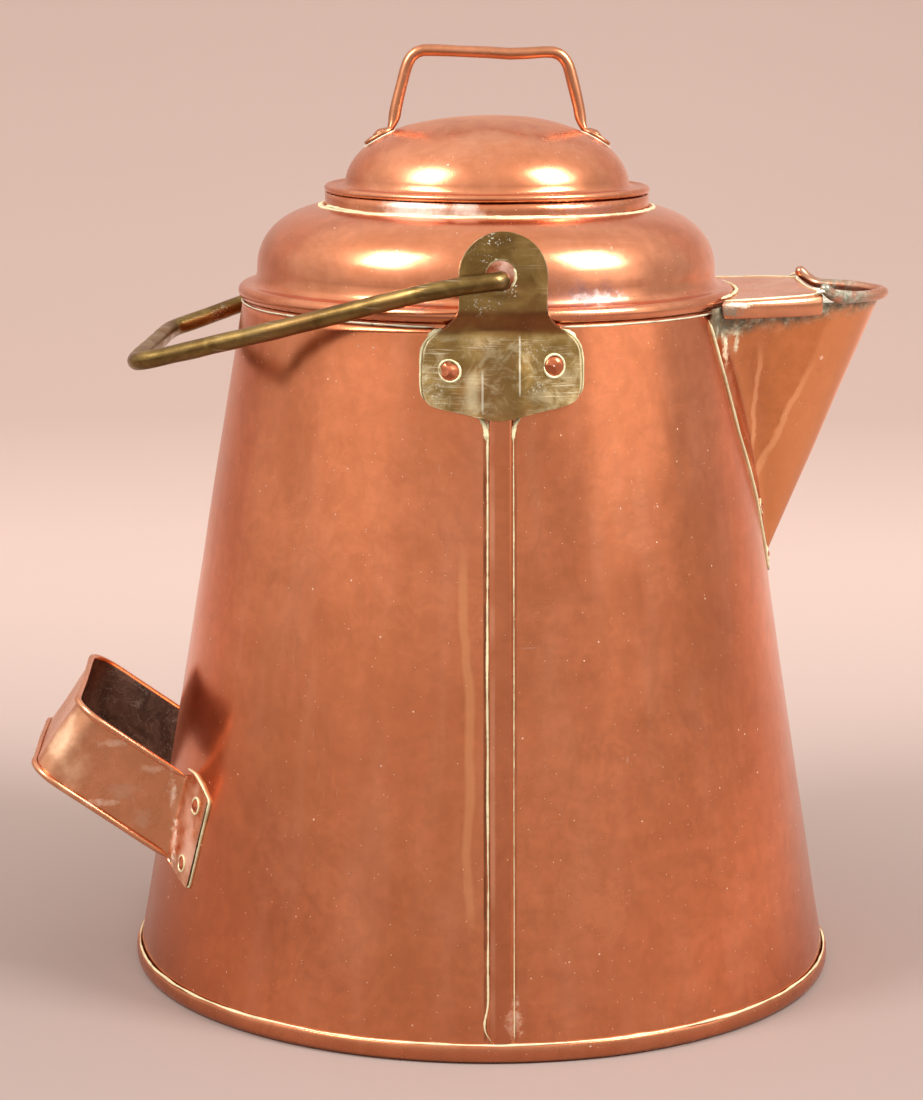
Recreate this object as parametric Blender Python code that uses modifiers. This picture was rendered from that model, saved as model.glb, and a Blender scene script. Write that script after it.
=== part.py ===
"""Copper camp coffee pot: seamed cone body, breast, lift-off lid, swinging bail, V spout and tipping handle.

Millimetre sizes are turned to metres by MM. The origin is the centre of the flat underside, +Z is up
and +X points along the spout. The side seams and the bail lugs lie on -Y (near) and +Y (far).
"""

import math

import bmesh
import bpy
from mathutils import Matrix, Vector

MM = 0.001
STEPS = 48

# Body: a cone of two sheets, joined by lock seams and set in the bottom plate's turned-up edge.
BASE_R = 147.5
BASE_Z = 8.0
BODY_TAPER = 45.0 / 275.0
BODY_BOTTOM_Z = 1.6
BODY_TOP_Z = 283.2
SHEET = 0.7
FOOT_R = 150.0
SEAM_HALF = 4.3
SEAM_PROUD = 1.3
SEAM_FOOT_Z = 8.2
GAP = 0.35

# Breast, collar and lid.
BEAD_R = 100.6
BEAD_Z = 287.8
BEAD_SIZE = 3.2
BREAST_T = 0.8
BREAST_CENTRE_R = 59.5
BREAST_CENTRE_Z = 297.5
BREAST_WIDE = 36.3
BREAST_HIGH = 26.6
BREAST_POWER = 2.2
NECK_R = 67.6
NECK_TOP_Z = 328.7
LID_T = 0.8
LID_RIM_R = 66.65
LID_RIM_Z = 330.6
LID_RIM_SIZE = 1.45
DOME_R = 59.45
DOME_BASE_Z = 330.1
DOME_HIGH = 30.4
DOME_POWER = 2.2

# Lid handle: a wire whose ends are beaten into flat riveted tabs.
LID_WIRE_R = 2.4
LID_TAB_T = 1.6
LID_TAB_HALF = 5.0
LID_RIVET_R = 44.0
LID_BAR_Z = 387.0

# Bail and its lugs.
# The rod hangs in the lower half of a larger, worn hole.
LUG_HOLE_Z = 304.2
PIVOT_Z = 302.4
BAIL_ROD_R = 3.75
LUG_T = 2.0
LUG_FACE_Y = 105.0
LUG_TONGUE_HALF = 17.2
LUG_HOLE_R = 6.3
LUG_RIVET_X = 20.4
LUG_RIVET_Z = 268.9
LUG_RIVET_SKEW = 0.95

# Spout: a half cone from an apex low on the body to a superellipse rim.
SPOUT_T = 0.8
SPOUT_APEX = (116.1, 165.0)
RIM_Z = 287.3
RIM_X = 90.0
RIM_LONG = 78.0
RIM_HALF = 48.0
RIM_POWER = 1.65
RIM_WIRE_R = 2.4
SPOUT_TOP_Z = 284.3
BRIDGE_FRONT_X = 132.5
BRIDGE_T = 0.8
# Azimuth of the flange's outer edge against height, in degrees and mm.
FLANGE_EDGE = ((169.0, 4.0), (171.5, 6.2), (202.0, 12.6), (234.0, 22.5), (280.0, 31.7), (290.0, 32.5))

# Tipping handle: a hemmed strap bent to a U, rising away from the body.
HANDLE_RISE = math.radians(34.5)
HANDLE_T = 0.9
HANDLE_HALF = 16.7
HANDLE_MID_W = -13.7
HANDLE_END_A = 208.2
HANDLE_TOP_Y = 49.0
HANDLE_LOW_Y = 45.5
HANDLE_CORNER = 9.0
HEM = 1.9

COPPER = ("copper", (0.72, 0.36, 0.24), 0.32)
DARK_COPPER = ("dark_copper", (0.52, 0.27, 0.18), 0.42)
BRASS = ("lug_brass", (0.42, 0.31, 0.14), 0.40)
RIVET_COPPER = ("rivet_copper", (0.66, 0.33, 0.22), 0.38)


def clear_scene():
    for obj in list(bpy.data.objects):
        bpy.data.objects.remove(obj, do_unlink=True)


def new_collection(name):
    made = bpy.data.collections.new(name)
    bpy.context.scene.collection.children.link(made)
    return made


def metal(look):
    """One Principled material per alloy."""
    name, colour, roughness = look
    found = bpy.data.materials.get(name)
    if found:
        return found
    made = bpy.data.materials.new(name)
    made.use_nodes = True
    shader = made.node_tree.nodes["Principled BSDF"]
    shader.inputs["Base Color"].default_value = (*colour, 1.0)
    shader.inputs["Metallic"].default_value = 1.0
    shader.inputs["Roughness"].default_value = roughness
    return made


def add_mesh(name, points, edges, faces, look=None, home=None):
    """A mesh object from points in mm."""
    mesh = bpy.data.meshes.new(name)
    mesh.from_pydata([tuple(c * MM for c in p) for p in points], edges, faces)
    obj = bpy.data.objects.new(name, mesh)
    (home or POT).objects.link(obj)
    if look:
        mesh.materials.append(metal(look))
    return obj


def smooth(obj, degrees=32.0):
    mesh = obj.data
    mesh.polygons.foreach_set("use_smooth", [True] * len(mesh.polygons))
    mesh.set_sharp_from_angle(angle=math.radians(degrees))


def grid(name, rows, look, thickness, flip=False):
    """An open surface through rows of points, thickened to one side by Solidify."""
    across = len(rows[0])
    faces = []
    for i in range(len(rows) - 1):
        for j in range(across - 1):
            quad = (i * across + j, i * across + j + 1, (i + 1) * across + j + 1, (i + 1) * across + j)
            faces.append(quad[::-1] if flip else quad)
    obj = add_mesh(name, [p for row in rows for p in row], [], faces, look)
    smooth(obj)
    shell = obj.modifiers.new("sheet", "SOLIDIFY")
    shell.thickness = thickness * MM
    shell.offset = 1.0
    shell.use_even_offset = True
    return obj


def loft(name, rings, look):
    """A closed body through rings of equal count, capped at both ends."""
    count = len(rings[0])
    faces = [tuple(range(count))[::-1]]
    for i in range(len(rings) - 1):
        for j in range(count):
            k = (j + 1) % count
            faces.append((i * count + j, i * count + k, (i + 1) * count + k, (i + 1) * count + j))
    last = (len(rings) - 1) * count
    faces.append(tuple(range(last, last + count)))
    obj = add_mesh(name, [p for ring in rings for p in ring], [], faces, look)
    bm = bmesh.new()
    bm.from_mesh(obj.data)
    bmesh.ops.recalc_face_normals(bm, faces=bm.faces)
    bm.to_mesh(obj.data)
    bm.free()
    smooth(obj, 40.0)
    return obj


def turned(name, profile, look, steps=STEPS, home=None):
    """A turned body. The profile is closed, or open with both ends on the axis."""
    closed = profile[0][0] > 0.0
    area = sum(a[0] * b[1] - b[0] * a[1] for a, b in zip(profile, profile[1:] + profile[:1]))
    if area > 0.0:
        profile = profile[::-1]
    edges = [(i, i + 1) for i in range(len(profile) - 1)]
    if closed:
        edges.append((len(profile) - 1, 0))
    obj = add_mesh(name, [(r, 0.0, z) for r, z in profile], edges, [], look, home)
    screw = obj.modifiers.new("turn", "SCREW")
    screw.steps = steps
    screw.render_steps = steps
    screw.use_merge_vertices = True
    screw.merge_threshold = 0.00001
    screw.use_smooth_shade = True
    return obj


def offset_line(points, distance):
    """A 2D line moved sideways by distance, to the right of its direction, with mitred corners."""
    moved = []
    for i, point in enumerate(points):
        here = Vector(point)
        before = (here - Vector(points[i - 1])).normalized() if i else None
        after = (Vector(points[i + 1]) - here).normalized() if i + 1 < len(points) else None
        before = before or after
        after = after or before
        normals = [Vector((d.y, -d.x)) for d in (before, after)]
        mitre = (normals[0] + normals[1]).normalized()
        moved.append(tuple(here + mitre * (distance / max(mitre.dot(normals[0]), 0.5))))
    return moved


def sheet_profile(points, thickness):
    """A closed outline: the given side, then the other side of the sheet on the way back."""
    return list(points) + offset_line(points, thickness)[::-1]


def arc(centre, radius, start, end, count):
    """Points round an arc in the r-z plane, angles in degrees."""
    turned_by = [math.radians(start + (end - start) * i / count) for i in range(count + 1)]
    return [(centre[0] + radius * math.cos(a), centre[1] + radius * math.sin(a)) for a in turned_by]


def curve_height(r, wide, high, power):
    return high * max(0.0, 1.0 - (r / wide) ** power) ** (1.0 / power)


def body_r(z):
    """Outer radius of the body cone."""
    return BASE_R - BODY_TAPER * (z - BASE_Z)


def on_body(azimuth, z, out=0.0):
    """A point on the body cone. Azimuth is in degrees from +X towards +Y."""
    a = math.radians(azimuth)
    r = body_r(z) + out
    return (r * math.cos(a), r * math.sin(a), z)


def body_normal(azimuth):
    a = math.radians(azimuth)
    return Vector((math.cos(a), math.sin(a), BODY_TAPER)).normalized()


def between(a, b, f):
    return tuple(p + (q - p) * f for p, q in zip(a, b))


def looked_up(table, x):
    """Straight-line interpolation in a short table."""
    for (x0, y0), (x1, y1) in zip(table, table[1:]):
        if x <= x1:
            return y0 + (y1 - y0) * max(0.0, (x - x0) / (x1 - x0))
    return table[-1][1]


def bored(obj, name, holes):
    """Cuts round holes. Each hole is (centre, direction, radius, length) in mm."""
    bm = bmesh.new()
    for centre, direction, radius, length in holes:
        turn = Vector(direction).to_track_quat("Z", "Y").to_matrix().to_4x4()
        place = Matrix.Translation(Vector(centre) * MM) @ turn
        bmesh.ops.create_cone(
            bm, cap_ends=True, segments=12, radius1=radius * MM, radius2=radius * MM,
            depth=length * MM, matrix=place,
        )
    mesh = bpy.data.meshes.new(name)
    bm.to_mesh(mesh)
    bm.free()
    add_cut(obj, name, mesh)


def add_cut(obj, name, mesh):
    cutter = bpy.data.objects.new(name, mesh)
    CUTTERS.objects.link(cutter)
    cut_with(obj, name, cutter)


def cut_with(obj, name, cutter):
    cutter.hide_render = True
    cutter.display_type = "WIRE"
    cut = obj.modifiers.new(name, "BOOLEAN")
    cut.operation = "DIFFERENCE"
    cut.solver = "EXACT"
    cut.object = cutter


def make_rivet(name, seat, direction, stack, head_r, shank_r):
    """A domed rivet through a stack of sheets. Its seat is the outer sheet's face."""
    high = head_r * 0.42
    profile = [
        (0.0, 0.3 + high),
        (head_r * 0.55, 0.3 + high * 0.84),
        (head_r * 0.92, 0.3 + high * 0.35),
        (head_r, 0.3),
        (shank_r, 0.3),
        (shank_r, -stack - 0.3),
        (shank_r * 1.7, -stack - 0.3),
        (0.0, -stack - 1.3),
    ]
    rivet = turned(name, profile, RIVET_COPPER, 8)
    rivet.rotation_mode = "QUATERNION"
    rivet.rotation_quaternion = Vector(direction).to_track_quat("Z", "Y")
    rivet.location = Vector(seat) * MM
    return rivet


# ---- body -------------------------------------------------------------------------------------------


def seam_point(side, across, out, z):
    """A point by the seam on one side: side is -1 near, +1 far; across runs towards +X."""
    r = body_r(z) + out
    a = across / body_r(z)
    return (r * math.sin(a), side * r * math.cos(a), z)


def sheet_rows(hook, start, forward):
    """Rows of a half-cone sheet: near hook, arc round, far hook."""
    rows = []
    for z in (BODY_BOTTOM_Z, BODY_TOP_Z):
        row = [seam_point(-1, across, out, z) for across, out in hook]
        from_angle = -90.0 + math.degrees(start / body_r(z))
        to_angle = -from_angle
        if not forward:
            to_angle = -360.0 - from_angle
        count = 28
        for i in range(1, count):
            row.append(on_body(from_angle + (to_angle - from_angle) * i / count, z, -SHEET / 2))
        row += [seam_point(1, across, out, z) for across, out in hook[::-1]]
        rows.append(row)
    return rows


def make_body():
    """Two sheets whose edges hook together. The front sheet's fold is the strip seen outside."""
    mid = SHEET / 2
    outer = SEAM_PROUD - mid
    pitch = SHEET + 0.3
    front_hook = [
        (2.2, outer - 2 * pitch),
        (-SEAM_HALF + mid, outer - 2 * pitch),
        (-SEAM_HALF + mid, outer),
        (SEAM_HALF, outer),
        (SEAM_HALF + 1.3, -mid),
    ]
    rear_hook = [
        (-SEAM_HALF + 1.1, outer - pitch),
        (SEAM_HALF - 1.1, outer - pitch),
        (SEAM_HALF - 1.1, outer - 3 * pitch),
        (-SEAM_HALF - 0.9, outer - 3 * pitch),
        (-SEAM_HALF - 2.2, -mid),
    ]
    front = grid("body_front_sheet", sheet_rows(front_hook, SEAM_HALF + 1.3, True), COPPER, SHEET)
    rear = grid("body_rear_sheet", sheet_rows(rear_hook, -SEAM_HALF - 2.2, False), COPPER, SHEET)
    for sheet in (front, rear):
        sheet.modifiers["sheet"].offset = 0.0
    low_r, high_r = body_r(-2.0) + 0.1, body_r(SEAM_FOOT_Z) + 0.1
    ring = [(low_r, -2.0), (high_r, SEAM_FOOT_Z), (FOOT_R + 6.0, SEAM_FOOT_Z), (FOOT_R + 6.0, -2.0)]
    notch = turned("seam_foot_notch", ring, None, 72, CUTTERS)
    cut_with(front, "seam_foot_notch", notch)
    cut_with(rear, "seam_foot_notch", notch)
    bored(front, "cut_front_sheet", front_holes())
    bored(rear, "cut_rear_sheet", rear_holes())


def radial_hole(azimuth, z, radius):
    return (on_body(azimuth, z), body_normal(azimuth), radius, 10.0)


def front_holes():
    """Strainer holes behind the spout, and the rivet holes."""
    holes = []
    for z, count in ((206.0, 1), (220.0, 2), (234.0, 3), (248.0, 4), (262.0, 5)):
        for i in range(count):
            azimuth = 6.6 * (i - (count - 1) / 2)
            holes.append(radial_hole(azimuth, z, 3.4))
    for azimuth, z in spout_rivet_spots():
        holes.append(radial_hole(azimuth, z, 1.8))
    for side in (-1, 1):
        holes.append(lug_hole(side, 1))
    return holes


def rear_holes():
    holes = [radial_hole(azimuth, z, 1.9) for azimuth, z in handle_rivet_spots()]
    for side in (-1, 1):
        holes.append(lug_hole(side, -1))
    return holes


def make_bottom():
    """The bottom plate, with its edge turned up round the foot of the body."""
    profile = [
        (0.0, 1.2),
        (148.95, 1.2),
        (148.7, 7.2),
        (149.2, 7.6),
        (149.8, 6.6),
        (FOOT_R, 4.0),
        (149.8, 1.4),
        (149.1, 0.0),
        (0.0, 0.0),
    ]
    turned("bottom_plate", profile, COPPER)


def make_breast():
    """The domed top with its swaged bead, and the skirt inside the body."""
    line = []
    for i in range(7):
        a = math.radians(78.0 - 78.0 * i / 6)
        r = BREAST_CENTRE_R + BREAST_WIDE * math.cos(a) ** (2 / BREAST_POWER)
        z = BREAST_CENTRE_Z + BREAST_HIGH * math.sin(a) ** (2 / BREAST_POWER)
        line.append((r, z))
    line[0] = (NECK_R + GAP, line[0][1])
    line += [(96.4, 293.6), (97.6, 291.4)]
    line += arc((BEAD_R, BEAD_Z), BEAD_SIZE, 72.0, -90.0, 5)
    line += [(101.25, 283.7), (102.45, 276.2)]
    breast = turned("breast", sheet_profile(line, BREAST_T), COPPER)
    bm = bmesh.new()
    for side in (-1, 1):
        centre = Matrix.Translation((0.0, side * 101.0 * MM, 277.0 * MM))
        place = centre @ Matrix.Diagonal((0.018, 0.012, 0.0144, 1.0))
        bmesh.ops.create_cube(bm, size=1.0, matrix=place)
    mesh = bpy.data.meshes.new("cut_skirt")
    bm.to_mesh(mesh)
    bm.free()
    add_cut(breast, "cut_skirt", mesh)


def make_collar():
    line = [(NECK_R, NECK_TOP_Z), (NECK_R, 321.0), (NECK_R + 0.8, 319.7), (71.0, 319.4)]
    turned("neck_collar", sheet_profile(line, 0.8), COPPER)


# ---- lid --------------------------------------------------------------------------------------------


def dome_z(r):
    return DOME_BASE_Z + curve_height(r, DOME_R, DOME_HIGH, DOME_POWER)


def dome_normal(r):
    slope = (dome_z(r + 0.5) - dome_z(r - 0.5))
    return Vector((-slope, 0.0, 1.0)).normalized()


def make_lid():
    outer = [(r, dome_z(r)) for r in (0.0, 14.0, 28.0, 39.0, 47.0, 53.0, 56.8, 58.8)]
    outer += [(59.7, 332.7), (60.9, 331.7), (62.4, 331.4)]
    inner = offset_line(outer, LID_T)[::-1]
    inner[-1] = (0.0, inner[-1][1])
    rim = arc((LID_RIM_R, LID_RIM_Z), LID_RIM_SIZE, 146.0, -166.0, 8)
    lid = turned("lid_shell", outer + rim + inner, COPPER)
    spots = [(side * LID_RIVET_R, 0.0, dome_z(LID_RIVET_R)) for side in (-1, 1)]
    holes = []
    for side, spot in zip((-1, 1), spots):
        normal = dome_normal(LID_RIVET_R)
        normal.x *= side
        holes.append((spot, normal, 1.9, 8.0))
    bored(lid, "cut_lid", holes)
    skirt = [(64.8, 330.3), (64.8, 329.2), (66.2, 327.6), (66.2, 316.5)]
    turned("lid_skirt", sheet_profile(skirt, 0.7), DARK_COPPER)
    make_lid_handle()


def wire_ring(centre, along, side_half, other_half, count=10):
    """An elliptical ring square to along: side_half runs along Y."""
    along = Vector(along).normalized()
    side = Vector((0.0, 1.0, 0.0))
    other = along.cross(side).normalized()
    ring = []
    for i in range(count):
        a = 2.0 * math.pi * i / count
        across = side * (side_half * math.cos(a)) + other * (other_half * math.sin(a))
        ring.append(tuple(Vector(centre) + across))
    return ring


def lid_handle_half(side):
    """Stations from the tab's end to the middle of the bar: (x, z, half width, half height)."""
    lift = 0.3 + LID_TAB_T / 2
    stations = []
    for r, half in ((49.6, 2.2), (48.6, 4.0), (46.6, 4.9), (43.0, LID_TAB_HALF), (40.6, 3.6)):
        normal = dome_normal(r)
        stations.append((r + normal.x * lift, dome_z(r) + normal.z * lift, half, LID_TAB_T / 2))
    stations.append((39.3, 357.6, 2.6, 1.7))
    wire = [(38.4, 361.0), (36.9, 368.0), (33.6, 380.0), (32.2, 383.6), (29.4, 386.2)]
    wire += [(25.4, LID_BAR_Z), (12.0, LID_BAR_Z - 0.3)]
    stations += [(x, z, LID_WIRE_R, LID_WIRE_R) for x, z in wire]
    return [(side * x, z, a, b) for x, z, a, b in stations]


def make_lid_handle():
    stations = lid_handle_half(-1) + lid_handle_half(1)[::-1]
    rings = []
    for i, (x, z, side_half, other_half) in enumerate(stations):
        ahead = stations[min(i + 1, len(stations) - 1)]
        back = stations[max(i - 1, 0)]
        along = (ahead[0] - back[0], 0.0, ahead[1] - back[1])
        rings.append(wire_ring((x, 0.0, z), along, side_half, other_half))
    handle = loft("lid_handle", rings, COPPER)
    holes = []
    for side, word in ((-1, "rear"), (1, "front")):
        normal = dome_normal(LID_RIVET_R)
        normal.x *= side
        spot = Vector((side * LID_RIVET_R, 0.0, dome_z(LID_RIVET_R)))
        holes.append((spot, normal, 1.9, 8.0))
        seat = spot + normal * (0.3 + LID_TAB_T)
        make_rivet("lid_rivet_" + word, seat, normal, LID_TAB_T + 0.3 + LID_T, 3.4, 1.6)
    bored(handle, "cut_lid_handle", holes)


# ---- lugs and bail ----------------------------------------------------------------------------------

# Height and half width of the lug's outline, from the low point to the neck.
LUG_OUTLINE = (
    (248.9, 4.0), (249.8, 9.0), (252.2, 17.0), (254.2, 25.0), (256.4, 29.4), (260.5, 31.0), (267.5, 31.0),
    (274.0, 30.8), (277.4, 29.5), (280.2, 27.2), (282.6, 23.2), (284.8, 19.8), (287.2, 17.8),
    (290.0, LUG_TONGUE_HALF), (LUG_HOLE_Z, LUG_TONGUE_HALF),
)


def lug_rows():
    rows = list(LUG_OUTLINE)
    for degrees in (16.0, 32.0, 46.0, 60.0, 72.0, 82.0):
        a = math.radians(degrees)
        rows.append((LUG_HOLE_Z + LUG_TONGUE_HALF * math.sin(a), LUG_TONGUE_HALF * math.cos(a)))
    return rows


def lug_depth(x, z):
    """How far out the lug's inner face stands: on the body low down, upright beside the bead above."""
    raised = max(0.0, min(1.0, (8.8 - abs(x)) / 2.4)) * SEAM_PROUD
    plate = math.sqrt((body_r(z) + GAP + raised) ** 2 - x * x)
    f = max(0.0, min(1.0, (z - 281.0) / 8.5))
    f = f * f * (3.0 - 2.0 * f)
    return plate + (LUG_FACE_Y - plate) * f


def make_lug(side, word):
    rows = []
    for z, half in lug_rows():
        between = 8.8 + (half - 8.8) * 0.5
        stops = ((6.4, 0.35), (8.8, 0.5), (between, 0.75), (half, 1.0))
        right = [min(x, half * f) for x, f in stops]
        across = [-x for x in right[::-1]] + [0.0] + right
        rows.append([(x, side * lug_depth(x, z), z) for x in across])
    lug = grid("bail_lug_" + word, rows, BRASS, LUG_T, flip=side > 0)
    holes = [((0.0, side * 106.0, LUG_HOLE_Z), (0.0, 1.0, 0.0), LUG_HOLE_R, 12.0)]
    for end, name in ((-1, "rear"), (1, "front")):
        centre, normal, radius, length = lug_hole(side, end)
        holes.append((centre, normal, radius, length))
        seat = Vector(centre) + normal * (GAP + LUG_T)
        make_rivet(f"lug_rivet_{word}_{name}", seat, normal, LUG_T + GAP + SHEET, 3.9, 1.8)
    bored(lug, "cut_lug_" + word, holes)


def lug_hole(side, end):
    z = LUG_RIVET_Z + LUG_RIVET_SKEW * end
    azimuth = side * 90.0 - side * end * math.degrees(math.asin(LUG_RIVET_X / body_r(z)))
    return (on_body(azimuth, z), body_normal(azimuth), 2.1, 14.0)


def make_bail():
    """One rod: a stub through each lug, two arms and a grip across the back. The far arm is the shorter."""
    near = [(0.0, -100.5, 0.0), (0.0, -104.0, 0.0), (0.0, -109.2, 0.0)]
    near += [(0.9, -111.4, -0.1), (4.0, -112.5, -0.5)]
    near += [(17.0, -112.6, -2.4), (33.0, -112.0, -5.4), (85.0, -84.0, -21.3), (133.0, -58.4, -35.6)]
    near += [(141.0, -54.0, -38.1), (145.4, -47.4, -39.3)]
    far = [(x * 0.94 if x > 40.0 else x, -y, z * 0.97) for x, y, z in near]
    path = near + far[::-1]
    pivot = bpy.data.objects.new("bail_axis", None)
    pivot.empty_display_size = 0.03
    pivot.location = (0.0, 0.0, PIVOT_Z * MM)
    POT.objects.link(pivot)
    curve = bpy.data.curves.new("bail", "CURVE")
    curve.dimensions = "3D"
    curve.bevel_depth = BAIL_ROD_R * MM
    curve.bevel_resolution = 2
    curve.use_fill_caps = True
    spline = curve.splines.new("POLY")
    spline.points.add(len(path) - 1)
    for point, (back, y, z) in zip(spline.points, path):
        point.co = (-back * MM, y * MM, z * MM, 1.0)
    rod = bpy.data.objects.new("bail", curve)
    curve.materials.append(metal(BRASS))
    rod.parent = pivot
    POT.objects.link(rod)


# ---- spout ------------------------------------------------------------------------------------------


def spout_scale(z):
    return (z - SPOUT_APEX[1]) / (RIM_Z - SPOUT_APEX[1])


def spout_wall(t, z, out=0.0):
    """A point of the gutter's inner face. t is 0 at the keel and 90 at the widest."""
    s = spout_scale(z)
    middle = SPOUT_APEX[0] + (RIM_X - SPOUT_APEX[0]) * s
    a = math.radians(t)
    long = (RIM_LONG - RIM_WIRE_R * 0.3) * s + out
    half = (RIM_HALF - RIM_WIRE_R * 0.3) * s + out
    return (middle + long * math.cos(a) ** (2 / RIM_POWER), -half * math.sin(a) ** (2 / RIM_POWER), z)


def spout_clear_r(z):
    """Radius that the spout keeps off: the body, then the breast's bead."""
    if z > BODY_TOP_Z:
        return BEAD_R + BEAD_SIZE + 0.4
    return body_r(z) + GAP


def crease_t(z):
    """Where the gutter's wall leaves the body, as a wall parameter in degrees."""
    if math.hypot(*spout_wall(0.0, z)[:2]) <= spout_clear_r(z):
        return 0.0
    low, high = 0.0, 90.0
    for _ in range(30):
        t = (low + high) / 2
        if math.hypot(*spout_wall(t, z)[:2]) > spout_clear_r(z):
            low = t
        else:
            high = t
    return low


def spout_half_row(z):
    """Half a level section, from the flange's edge to just short of the keel, on the -Y side."""
    t_end = crease_t(z)
    if t_end > 0.0:
        x, y, _ = spout_wall(t_end, z)
        crease = -math.degrees(math.atan2(y, x))
    else:
        crease = 0.0
    edge = max(looked_up(FLANGE_EDGE, z), crease + 2.0)
    out = spout_clear_r(z) - body_r(z)
    row = [on_body(-(crease + (edge - crease) * f), z, out) for f in (1.0, 0.66, 0.33)]
    for i in range(9):
        if t_end > 0.0:
            row.append(spout_wall(t_end * (1.0 - (i / 9.0) ** 1.15), z))
        else:
            row.append(on_body(-edge * 0.3 * (1.0 - i / 9.0), z, out))
    return row


def make_spout():
    rows = []
    for z in (169.0, 172.0, 174.4, 179.0, 188.0, 202.0, 220.0, 242.0, 264.0, 278.0, SPOUT_TOP_Z):
        half = spout_half_row(z)
        if crease_t(z) > 0.0:
            keel = spout_wall(0.0, z)
        else:
            keel = on_body(0.0, z, GAP)
        rows.append(half + [keel] + [(x, -y, h) for x, y, h in half[::-1]])
    shell = grid("spout_shell", rows, COPPER, SPOUT_T)
    holes = []
    for azimuth, z in spout_rivet_spots():
        normal = body_normal(azimuth)
        centre = on_body(azimuth, z)
        holes.append((centre, normal, 1.8, 8.0))
        seat = Vector(centre) + normal * (GAP + SPOUT_T)
        word = ("near" if azimuth < 0 else "far") + ("_low" if z < 185.0 else "_high")
        make_rivet("spout_rivet_" + word, seat, normal, SPOUT_T + GAP + SHEET, 2.9, 1.5)
    bored(shell, "cut_spout", holes)
    make_rim_wire()
    make_bridge()


def spout_rivet_spots():
    return [(side * azimuth, z) for side in (-1, 1) for azimuth, z in ((4.3, 176.0), (8.6, 198.0))]


def make_rim_wire():
    """The wire on the pouring edge, its ends turned up in front of the bridge."""
    half = [(136.9, -34.4, 293.0), (139.2, -33.6, 291.2), (142.0, -31.8, 288.9), (145.4, -29.4, RIM_Z)]
    for t in (40.0, 32.0, 24.0, 17.0, 11.0, 5.0):
        a = math.radians(t)
        x = RIM_X + RIM_LONG * math.cos(a) ** (2 / RIM_POWER)
        half.append((x, -RIM_HALF * math.sin(a) ** (2 / RIM_POWER), RIM_Z))
    path = half + [(RIM_X + RIM_LONG, 0.0, RIM_Z)] + [(x, -y, z) for x, y, z in half[::-1]]
    curve = bpy.data.curves.new("spout_rim_wire", "CURVE")
    curve.dimensions = "3D"
    curve.bevel_depth = RIM_WIRE_R * MM
    curve.bevel_resolution = 2
    curve.use_fill_caps = True
    spline = curve.splines.new("POLY")
    spline.points.add(len(path) - 1)
    for point, place in zip(spline.points, path):
        point.co = (place[0] * MM, place[1] * MM, place[2] * MM, 1.0)
    curve.materials.append(metal(COPPER))
    POT.objects.link(bpy.data.objects.new("spout_rim_wire", curve))


def bridge_half(x, z):
    """Half width of the gutter at x, outside its wall, with room for the bridge's lip."""
    s = spout_scale(z)
    middle = SPOUT_APEX[0] + (RIM_X - SPOUT_APEX[0]) * s
    share = max(0.0, min(1.0, (x - middle) / (RIM_LONG * s)))
    return RIM_HALF * s * (1.0 - share ** RIM_POWER) ** (1.0 / RIM_POWER) + SPOUT_T + 1.1


def make_bridge():
    """The sheet over the back of the spout, its sides folded down outside the gutter."""
    levels = ((281.0, 281.6), (284.6, 285.4), (287.2, 288.6), (288.2, 290.2))
    rows = []
    for i in range(7):
        f = i / 6.0
        near = []
        for rear_z, front_z in levels:
            z = rear_z + (front_z - rear_z) * f
            half = bridge_half(96.0 + (BRIDGE_FRONT_X - 96.0) * f, min(z, 286.0))
            half -= 1.0 if rear_z > 288.0 else 0.0
            rear_x = math.sqrt(106.2 ** 2 - half ** 2)
            near.append((rear_x + (BRIDGE_FRONT_X - rear_x) * f, -half, z))
        half = -near[-1][1]
        top = []
        for share in (-0.75, -0.5, -0.25, 0.0, 0.25, 0.5, 0.75):
            y = share * half
            rear_x = math.sqrt(104.6 ** 2 - y * y)
            front_x = BRIDGE_FRONT_X - 3.0 * (1.0 - share * share)
            top.append((rear_x + (front_x - rear_x) * f, y, near[-1][2] + 0.5 * (1.0 - share * share)))
        rows.append(near + top + [(x, -y, z) for x, y, z in near[::-1]])
    grid("spout_bridge", rows, COPPER, BRIDGE_T)


# ---- tipping handle ---------------------------------------------------------------------------------


def handle_point(a, w, y):
    """A point from distances along the arms, across the strap and along Y."""
    c, s = math.cos(HANDLE_RISE), math.sin(HANDLE_RISE)
    return (-a * c + w * s, y, a * s + w * c)


def arm_start(w, y):
    """Distance along the arm at which its inner face meets the body."""
    low, high = 60.0, 208.0
    for _ in range(40):
        a = (low + high) / 2
        x, _, z = handle_point(a, w, y)
        if math.hypot(x, y) < body_r(z) + GAP:
            low = a
        else:
            high = a
    return high


def handle_rivet_spots():
    return [(side * azimuth, z) for side in (-1, 1) for azimuth, z in ((152.8, 81.0), (155.0, 55.8))]


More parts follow.
